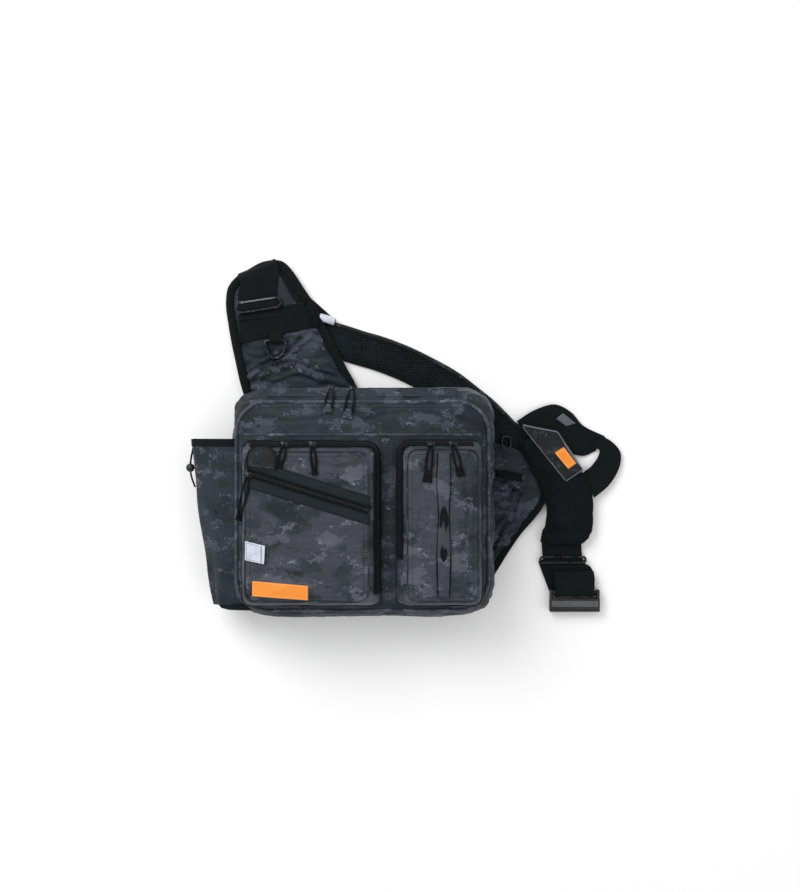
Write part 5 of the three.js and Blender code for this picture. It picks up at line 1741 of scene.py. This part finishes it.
    def slider(self, origin: Vector, heading: float) -> list[bpy.types.Object]:
        """Bends the three-bar slider: a long round frame, with a lighter grey copy of its upper bar laid on it as a
        painted highlight.
        """
        half, pitch, z = 27.5, 6.4, 20.6
        frame_line = Sides(-half, half, pitch, -pitch).ring(5.6, z, 64)
        frame = tube(frame_line, 2.1, 12, closed=True)
        bar = tube([Vector((x, pitch - 0.6, z + 2.0)) for x in np.linspace(-half + 5, half - 5, 10)],
                   1.4, 10, flat=0.7)
        turn = (Matrix.Translation(Vector((origin.x, origin.y, 0)))
                @ Matrix.Rotation(heading - math.pi / 2 + 0.06, 4, "Z"))
        return [
            finished(turned(frame, turn), "pad_slider", METAL, ["pad_slider"]),
            finished(turned(bar, turn), "pad_slider_bar_highlight", BAR_HIGHLIGHT_METAL),
        ]

    def ring(self) -> list[bpy.types.Object]:
        """Makes the D-shaped ring and the webbing loop that holds it."""
        x, y, z = x_at(-0.685), y_at(1.35), 21.1
        half, drop = 13.0, 22.0
        bow = [Vector((x + half * math.cos(a), y + drop * math.sin(a), z))
               for a in np.linspace(0, -math.pi, 30)]
        bar = [Vector((x + half * s, y, z)) for s in (-0.7, -0.35, 0, 0.35, 0.7)]
        ring = tube(bow + bar, 2.3, 12, closed=True)
        turn = [Vector((x, y + 2.9 * math.cos(a), z + 2.9 * math.sin(a)))
                for a in np.linspace(math.pi / 2, 1.5 * math.pi, 10)]
        line = [Vector((x, y + 11, z - 1.6)), Vector((x, y + 6, z + 1.4)), *turn,
                Vector((x, y + 6, z - 2.9)), Vector((x, y + 10.5, z - 3.2))]
        loop = band([(p.x - 7.5, p.y, p.z, p.x + 7.5, p.y, p.z) for p in line], 1.7, 40, 4)
        tack = [Vector((x - 5.5, y + 7.6 + dy, z + 0.9 - dy * 0.45)) for dy in (0.0, 1.2, 2.4)]
        rows = [grains([p, p + Vector((11, 0, 0))], UP, 1.6, (1.4, 0.6, 0.6)) for p in tack]
        return [
            finished(ring, "d_ring", METAL, ["d_ring"], body="ring"),
            finished(loop, "d_ring_loop", WEBBING, ["d_ring_loop"]),
            finished(merged(rows), "d_ring_loop_tack", THREAD),
        ]


@dataclass
class UpperStrap:
    """The mesh strap from the pad's side to the hip pad, with the webbing under the pad."""

    line: tuple = (
        (-0.36, 1.392), (-0.19, 1.35), (-0.03, 1.3), (0.083, 1.269), (0.287, 1.197), (0.476, 1.109),
        (0.666, 1.006),
        (0.816, 0.879), (0.942, 0.763), (1.036, 0.657), (1.112, 0.568), (1.219, 0.506), (1.349, 0.434), (1.487, 0.354))
    width: float = 42.0
    thick: float = 4.0

    def edges(self, count: int, half: float, z: float) -> list[tuple[Vector, Vector, Vector]]:
        """Gives the strap's left edge, middle and right edge along its line."""
        middle = smooth_path([at(x, y, z) for x, y in self.line], count)
        rows = []
        for i, point in enumerate(middle):
            ahead = (middle[min(i + 1, count - 1)] - middle[max(i - 1, 0)]).normalized()
            aside = Vector((ahead.y, -ahead.x, 0))
            rows.append((point - aside * half, point, point + aside * half))
        return rows

    def build(self) -> list[bpy.types.Object]:
        """Makes the strap, its two bound edges, the webbing under the pad and the loop tab."""
        rows = [(*a, *b) for a, _, b in self.edges(60, self.width / 2 - 1, self.thick / 2)]
        strap = band(rows, 3.0, 150, 14, lambda s, v: 1.0 * (1 - s * s), 2)
        crumpled(strap, [(0.9, (26, 26, 30), 0.2)], None, 2.2)
        pieces = [finished(strap, "mesh_strap", AIR_MESH, ["mesh_strap"])]
        edges = self.edges(120, self.width / 2 - 1.6, self.thick / 2 + 0.2)
        for name, side, radius, finish in (("upper", 0, 2.6, STRAP_CAMO), ("lower", 2, 2.2, TAPE)):
            bound = tube([row[side] for row in edges], radius, 10, flat=0.8)
            pieces.append(finished(bound, f"strap_{name}_binding", finish))
        inner = self.edges(120, self.width / 2 - 5, self.thick + 0.5)
        stitches = [grains([row[side] for row in inner], UP, 3.1, (2.2, 0.7, 0.6)) for side in (0, 2)]
        pieces.append(finished(merged(stitches), "strap_stitches", THREAD))
        under = [(at(-0.8, 1.84), 22), (at(-0.7, 1.74), 23), (at(-0.545, 1.6), 24), (at(-0.36, 1.44), 24)]
        rows = []
        for i, (point, half) in enumerate(under):
            ahead = (under[min(i + 1, 3)][0] - under[max(i - 1, 0)][0]).normalized()
            aside = Vector((ahead.y, -ahead.x, 0)) * half
            z = Vector((0, 0, 1.1 if i else 1.4))
            rows.append((*(point - aside + z), *(point + aside + z)))
        pieces.append(finished(band(rows, 2.0, 60, 8), "under_webbing", WEBBING, ["under_webbing"]))
        roll = smooth_path([at(-0.345, 1.535, 7), at(-0.29, 1.52, 7.4), at(-0.225, 1.5, 7)], 14)
        tab = tube(roll, 5.0, 16, flat=0.6)
        # Painted shade: a dark cap of black tape at the roll's open end stands in for the shade inside the rolled tab.
        end = roll[-1] + Vector((0.9, -0.3, 0))
        tab_end_shade = tube([roll[-1] - Vector((1.5, -0.4, 0)), end], 3.4, 12, flat=0.55)
        pieces.append(finished(tab, "loop_tab", SILVER, ["loop_tab"]))
        pieces.append(finished(tab_end_shade, "loop_tab_end_shade", TAPE))
        return pieces


@dataclass
class HipPad:
    """The mesh pad at the strap's end, with its flap and the webbing that loops beside it."""

    rows: tuple = (
        (0.56, 1.2, 1.515), (0.48, 1.225, 1.55), (0.34, 1.27, 1.655), (0.2, 1.32, 1.74), (0.05, 1.372, 1.782),
        (-0.1, 1.412, 1.79), (-0.25, 1.4, 1.775), (-0.34, 1.388, 1.745), (-0.4, 1.382, 1.7))
    back: float = 6.6
    thick: float = 10.0
    flap: tuple = ((1.235, 0.66), (1.5, 0.6), (1.69, 0.27), (1.57, 0.175))
    label: tuple = ((1.48, 0.42), (1.55, 0.47), (1.645, 0.325), (1.585, 0.275))
    arch: tuple = (
        (1.2, 0.7, 1.28, 0.572, 4.3), (1.34, 0.8, 1.4, 0.5, 4.3), (1.5, 0.847, 1.52, 0.45, 4.3),
        (1.623, 0.772, 1.62, 0.41, 4.3), (1.7, 0.67, 1.7, 0.39, 1.7), (1.875, 0.566, 1.8, 0.43, 0))
    fold: tuple = (
        (1.85, 0.57, 1.77, 0.47, 3.1), (1.93, 0.515, 1.831, 0.443, 3.1), (1.99, 0.43, 1.816, 0.372, 3.7),
        (1.995, 0.34, 1.777, 0.31, 4.3), (1.907, 0.137, 1.71, 0.245, 6.6), (1.79, 0.02, 1.69, 0.2, 8.6))
    filling: Filling = Filling(pressure=4.0, voxel=4.0, most=3.0)
    pad: bmesh.types.BMesh = field(init=False)

    def build(self) -> list[bpy.types.Object]:
        """Makes the pad and everything on it."""
        middle = self.back + self.thick / 2
        rows = [(x_at(left) - 2.2, y_at(y), middle, x_at(right) + 1.8, y_at(y), middle)
                for y, left, right in reversed(self.rows)]
        form = band(rows, 5.4, 56, 18, lambda s, v: 2.0 * (1 - abs(s) ** 3) * math.sin(math.pi * v) ** 0.4, 5)
        pad = refined(self.filling.swell(form, lambda p: False))
        crumpled(pad, [(1.4, (40, 26, 30), 0.3), (0.5, (14, 12, 14), 0.4)], None, 5.5)
        self.pad = pad.copy()
        ground = Ground(self.pad)
        pieces = [finished(pad, "hip_pad", PAD_MESH, ["hip_pad"])]
        left = smooth_path([at(l + 0.045, y, 0) for y, l, _ in self.rows], 80)
        right = smooth_path([at(r - 0.045, y, 0) for y, _, r in self.rows], 80)
        for name, line in (("left", left), ("right", right)):
            laid = ground.line(line, 0.2, middle, 2)
            stitches = grains(laid, UP, 3.2, (2.2, 0.7, 0.6))
            pieces.append(finished(stitches, f"hip_pad_{name}_stitches", THREAD))
        tack = [at(1.57, y) for y in (0.2, 0.17, 0.14, 0.11)]
        rows = []
        for p in tack:
            line = ground.line([p, p + Vector((4, 0, 0)), p + Vector((9, 0, 0))], 0.3, middle, 0)
            rows.append(grains(line, UP, 1.5, (1.3, 0.7, 0.6)))
        pieces.append(finished(merged(rows), "hip_pad_bar_tack", THREAD))
        return pieces + self.flap_pieces(ground) + self.webbing()

    def flap_pieces(self, ground: Ground) -> list[bpy.types.Object]:
        """Makes the flap with its light bound edge, and its label."""
        top = self.back + self.thick

        def shaped(bm: bmesh.types.BMesh) -> bmesh.types.BMesh:
            """Bows the flap and curls its upper left corner."""
            corner = at(*self.flap[0])
            for vert in bm.verts:
                near = max(0.0, 1 - (Vector((vert.co.x, vert.co.y, 0)) - corner).length / 30)
                vert.co.z += top + 3.2 + 4.5 * near ** 1.5
            return bm

        rows = patch_rows(self.flap, 10)
        flap = shaped(band(rows, 2.4, 50, 14, lambda s, v: 0.4 * (1 - s * s)))
        crumpled(flap, [(1.0, (30, 22, 30), 0.2)], None, 8.8)
        a, b, c, d = (at(*p) for p in self.flap)
        line = []
        for p, q in ((d, a), (a, b), (b, c), (c, d)):
            line += [p.lerp(q, t) for t in np.linspace(0.02, 0.98, 16)]
        edge = shaped(tube(line, 1.5, 8, closed=True, flat=0.9))
        label = shaped(band(patch_rows(self.label, 6), 1.6, 20, 6))
        for vert in label.verts:
            vert.co.z += 2.0
        points = [at(*p) for p in self.label]
        middle = sum(points, Vector()) / 4
        inner = [middle.lerp(p, 0.82) for p in points]
        rim = []
        for p, q in zip(inner, inner[1:] + inner[:1]):
            rim += [p.lerp(q, t) for t in np.linspace(0, 1, 10, endpoint=False)]
        stitches = shaped(grains(rim + rim[:1], UP, 2.0, (1.8, 0.9, 0.6)))
        for vert in stitches.verts:
            vert.co.z += 2.9
        flap_piece = finished(flap, "end_flap", STRAP_CAMO, ["end_flap"])
        return [
            flap_piece,
            finished(edge, "end_flap_edge", EDGE_TAPE),
            finished(label, "flap_label", LABEL, ["flap_label"]),
            finished(stitches, "flap_label_stitches", LABEL_THREAD),
        ]

    def webbing(self) -> list[bpy.types.Object]:
        """Makes the webbing arch, the fold beside it and the grey patch on it."""
        pieces, thick = [], 2.0
        for name, table in (("arch_webbing", self.arch), ("fold_webbing", self.fold)):
            rows = [(x_at(ox), y_at(oy), low + thick / 2, x_at(ix), y_at(iy), low + thick / 2)
                    for ox, oy, ix, iy, low in table]
            pieces.append(finished(band(rows, thick, 80, 8), name, WEBBING, [name]))
        corners = ((1.553, 0.77), (1.65, 0.68), (1.575, 0.655), (1.5, 0.72))
        patch = band(patch_rows(corners, 5), 1.6, 14, 5)
        for vert in patch.verts:
            vert.co.z += 7.5
        pieces.append(finished(patch, "arch_patch", DULL_SILVER, ["arch_patch"]))
        return pieces


@dataclass
class SideWing:
    """The cloth wing that ties the strap to the body's side, with its strap and keeper."""

    rows: tuple = (
        (0.52, 1.03), (0.44, 1.25), (0.26, 1.38), (0.08, 1.45), (-0.04, 1.41), (-0.33, 1.215), (-0.72, 1.0))
    root: float = 0.93
    back: float = 4.3
    trim: float = 9.0
    creases: tuple[Crease, ...] = (
        Crease(((0.99, 0.27), (1.1, 0.16), (1.25, 0.02)), 3.6, 3.0),
        Crease(((0.99, 0.12), (1.12, 0.06), (1.2, 0.1)), 2.6, 2.6),
        Crease(((1.0, -0.45), (1.12, -0.2), (1.3, -0.1)), 2.2, 3.0),
        Crease(((1.3, 0.2), (1.2, 0.0), (1.16, -0.2)), 2.0, 2.8),
    )

    def cut(self) -> tuple[float, float, float]:
        """Gives the cloth's width, length and area as it was cut, in metres."""
        heights = np.array([y_at(y) for y, _ in self.rows]) / 1000
        widths = np.array([x_at(right) - self.trim * 0.7 - x_at(self.root) for _, right in self.rows]) / 1000
        area = float(-np.trapz(widths, heights))
        return float(widths.max()), float(heights.max() - heights.min()), area

    def slack(self, point: Vector) -> float:
        """Gives how freely the cloth folds, which is least at its far point."""
        return max(0.1, min(1.0, (x_at(1.36) - point.x) / 40))

    def build(self) -> list[bpy.types.Object]:
        """Makes the wing, its binding, the strap across it and the keeper."""
        rows = [(x_at(self.root), y_at(y), self.back + 1.4,
                 x_at(right) - self.trim * 0.7, y_at(y), self.back + 1.2) for y, right in reversed(self.rows)]
        wing = band(rows, 2.2, 90, 26)
        folds = [(4.4, (60, 22, 40), 0.6), (1.8, (26, 11, 20), 0.5)]
        crumpled(wing, folds, self.slack, 6.1)
        wing = refined(wing)
        for crease in self.creases:
            crease.press(wing)
        for vert in wing.verts:
            vert.co.z = max(vert.co.z, self.back + 0.2)
        ground = Ground(wing.copy())
        edge = smooth_path([at(right, y, self.back + 1.6) for y, right in self.rows[3:]], 60)
        inward = []
        for i, point in enumerate(edge):
            ahead = (edge[min(i + 1, 59)] - edge[max(i - 1, 0)]).normalized()
            inward.append(point + Vector((ahead.y, -ahead.x, 0)) * self.trim)
        binding = band([(*p, *q) for p, q in zip(inward, edge)], 3.0, 60, 4)
        corners = ((1.045, 0.275), (1.24, 0.235), (1.24, 0.16), (1.045, 0.2))
        strap = ground.laid(band(patch_rows(corners, 5), 1.8, 20, 6), 1.2, self.back + 2)
        x, y, z = x_at(1.12), y_at(0.51), self.back + 2.3
        keeper = Sides(x - 5.4, x + 5.4, y + 7.4, y - 7.4).ring(2.6, z + 1.3, 48)
        wing_piece = finished(wing, "side_wing", BODY_CAMO, ["side_wing"])
        width, length, area = self.cut()
        return [
            wing_piece,
            finished(binding, "wing_binding", TAPE, ["wing_binding"]),
            finished(strap, "wing_strap", WEBBING, ["wing_strap"]),
            finished(tube(keeper, 1.25, 10, closed=True), "strap_keeper", PLASTIC, ["strap_keeper"]),
        ]


@dataclass
class TailBuckle:
    """The webbing below the hip pad, its flat slider and the buckle at its end."""

    x: float = x_at(1.64)
    bar_y: float = y_at(-0.82)
    bar_z: float = 7.0
    width: float = 63.0
    reach: float = 24.0

    def build(self) -> list[bpy.types.Object]:
        """Makes the webbing round the buckle's bar, the slider and the buckle."""
        z = 5.3
        down = [(self.x - shift * 50, y_at(y), z) for y, shift in
                ((-0.3, 0.33), (-0.42, 0.32), (-0.52, 0.29), (-0.55, 0.27), (-0.59, 0.1))]
        turn = [(self.x, self.bar_y + 4.4 * math.cos(a), self.bar_z + 4.4 * math.sin(a))
                for a in np.linspace(1.5 * math.pi, 0.5 * math.pi, 10)]
        line = down + [(self.x, self.bar_y + 20, 3.0), (self.x, self.bar_y + 10, 2.7), *turn,
                       (self.x, self.bar_y + 9, 11.4), (self.x, self.bar_y + 19, 11.2),
                       (self.x - 1, self.bar_y + 27, 8.6)]
        rows = [(px - 25, py, pz, px + 25, py, pz) for px, py, pz in line]
        webbing = finished(band(rows, 2.0, 130, 8), "tail_webbing", WEBBING, ["tail_webbing"])
        tack = []
        for y in (self.bar_y + 15.5, self.bar_y + 19.5):
            ends = [Vector((self.x - 20, y, 12.4)), Vector((self.x + 20, y, 12.4))]
            tack.append(grains(ends, UP, 2.6, (2.0, 0.7, 0.6)))
        pieces = [webbing, finished(merged(tack), "tail_webbing_stitches", THREAD)]
        corners = ((1.365, -0.545), (1.49, -0.545), (1.49, -0.84), (1.445, -0.8))
        behind = band(patch_rows(corners, 6), 1.6, 24, 6)
        for vert in behind.verts:
            vert.co.z += 3.2 + 1.2 * math.sin((vert.co.x + vert.co.y) / 6)
        pieces.append(finished(behind, "tail_fold", TAPE))
        middle = Vector((self.x - 0.29 * 50, y_at(-0.53), 0))
        outer = Sides(middle.x - 28.5, middle.x + 28.5, middle.y + 3.6, middle.y - 3.6).ring(2.6, 7.6, 64)
        inner = [Vector((x, middle.y - 1, 3.0)) for x in np.linspace(middle.x - 28, middle.x + 28, 8)]
        slider = [tube(outer, 1.5, 10, closed=True, flat=0.8), tube(inner, 1.4, 10)]
        pieces.append(finished(merged(slider), "tail_slider", METAL, ["tail_slider"]))
        return pieces + self.buckle()

    def buckle(self) -> list[bpy.types.Object]:
        """Moulds the buckle: a rimmed body with an open mouth, two cheeks and a bar."""
        half, foot = self.width / 2, self.bar_y - self.reach
        top = self.bar_y - 6.6
        low, high = 0.6, 13.4
        mouth, tall = half * 0.72, 3.0
        x = self.x
        parts = [
            block(Vector((x - half, foot, low)), Vector((x + half, top, self.bar_z - tall)), 1.4),
            block(Vector((x - half, foot, self.bar_z + tall)), Vector((x + half, top, high)), 1.4),
        ]
        for left, right in ((x - half + 0.3, x - mouth), (x + mouth, x + half - 0.3)):
            parts.append(block(Vector((left, foot + 0.3, low + 0.4)),
                               Vector((right, top - 0.3, high - 0.4)), 1.4))
        for left, right in ((x - half + 0.2, x - half + 4), (x + half - 4, x + half - 0.2)):
            parts.append(block(Vector((left, top - 3, low + 0.3)),
                               Vector((right, self.bar_y + 4, high - 0.7)), 1.5))
        across = np.linspace(x - half + 2, x + half - 2, 12)
        bar = tube([Vector((px, self.bar_y, self.bar_z)) for px in across], 3.0, 16)
        along = np.linspace(x - half + 3, x + half - 3, 12)
        rims = [tube([Vector((px, py, high - 0.1)) for px in along], 0.8, 8)
                for py in (foot + 2.4, top - 2.4)]
        # Painted highlight: the light grey band across the buckle's front stands for the highlight on its face.
        face = block(Vector((x - half + 2.2, foot + 6.4, high - 0.6)),
                     Vector((x + half - 2.2, foot + 14.2, high + 0.3)), 0.6, 3)
        return [
            finished(merged([*parts, bar, *rims]), "buckle", DARK_PLASTIC, ["buckle"], body="buckle"),
            finished(face, "buckle_face", HIGHLIGHT_PLASTIC, body="buckle"),
        ]


@dataclass
class Studio:
    """The pale floor, the soft light and the camera straight above."""

    camera_spot: tuple[float, float, float] = (0.046, 0.068, 2.2)
    lens: float = 78.39

    def build(self) -> None:
        """Sets the floor, the lights and the camera."""
        scene = bpy.context.scene
        scene.view_settings.view_transform = "Standard"
        bm = bmesh.new()
        bmesh.ops.create_grid(bm, x_segments=1, y_segments=1, size=6.0)
        bmesh.ops.translate(bm, vec=(0, 0, -0.0004), verts=bm.verts)
        mesh = bpy.data.meshes.new("floor")
        bm.to_mesh(mesh)
        bm.free()
        floor = bpy.data.objects.new("floor", mesh)
        scene.collection.objects.link(floor)
        graph = Graph("pale floor")
        soft = graph.noise(graph.place(), 400.0, 2.0).outputs["Fac"]
        tint = graph.ramp(soft, [(0.3, (0.965, 0.965, 0.965, 1)), (0.7, (0.98, 0.98, 0.98, 1))])
        mesh.materials.append(graph.finish(Base_Color=tint, Roughness=0.9))
        world = bpy.data.worlds.new("soft dome")
        scene.world = world
        world.use_nodes = True
        world.node_tree.nodes["Background"].inputs[0].default_value = (1.0, 1.0, 1.0, 1)
        world.node_tree.nodes["Background"].inputs[1].default_value = 0.7
        for name, spot, aim, size, power in (
            ("key", (-1.0, 1.2, 1.6), (0, 0.05, 0), 1.3, 30.0),
            ("fill", (1.4, -0.8, 1.8), (0, 0, 0), 1.6, 6.0),
        ):
            light = bpy.data.lights.new(name, "AREA")
            light.shape = "SQUARE"
            light.size = size
            light.energy = power
            lamp = bpy.data.objects.new(name, light)
            scene.collection.objects.link(lamp)
            lamp.location = spot
            lamp.rotation_euler = (Vector(aim) - Vector(spot)).to_track_quat("-Z", "Y").to_euler()
        camera = bpy.data.cameras.new("camera")
        camera.lens = self.lens
        camera.sensor_fit = "HORIZONTAL"
        camera.sensor_width = 36.0
        holder = bpy.data.objects.new("camera", camera)
        holder.location = self.camera_spot
        scene.collection.objects.link(holder)
        scene.camera = holder


def main() -> None:
    """Builds the studio and each sub-assembly."""
    logging.basicConfig(level=logging.INFO, format="%(message)s")
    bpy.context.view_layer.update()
    Studio().build()
    parts = (
        BagBody(),
        LeftPocket("left", Sides.of(-0.91, 0.15, 0.53, -0.885), Sides.of(-0.885, 0.06, 0.44, -0.85),
                   Side.RIGHT, -0.86, -0.8, seed=1.3, creases=(
                       Crease(((-0.84, -0.1), (-0.7, -0.2), (-0.62, -0.42)), 1.5, 3.4),
                       Crease(((-0.2, -0.75), (0.0, -0.62), (0.03, -0.3)), 1.5, 3.2),
                       Crease(((-0.84, -0.6), (-0.6, -0.58), (-0.3, -0.66)), 1.1, 3.0),
                       Crease(((-0.4, 0.36), (-0.2, 0.3), (0.02, 0.34)), 1.4, 3.0))),
        RightPocket("right", Sides.of(0.255, 0.91, 0.535, -0.885), Sides.of(0.335, 0.885, 0.46, -0.85),
                    Side.LEFT, 0.84, -0.5, seed=8.2, creases=(
                        Crease(((0.37, 0.2), (0.44, 0.0), (0.4, -0.4)), 1.3, 2.8),
                        Crease(((0.75, 0.3), (0.8, 0.0), (0.76, -0.5)), 1.5, 2.8),
                        Crease(((0.38, -0.7), (0.6, -0.76), (0.84, -0.7)), 1.2, 2.6))),
        SideSleeve(),
        ShoulderPad(),
        UpperStrap(),
        HipPad(),
        SideWing(),
        TailBuckle(),
    )
    for part in parts:
        for piece in part.build():
            log.info("%s: %d faces", piece.name, len(piece.data.polygons))


if __name__ == "__main__":
    main()
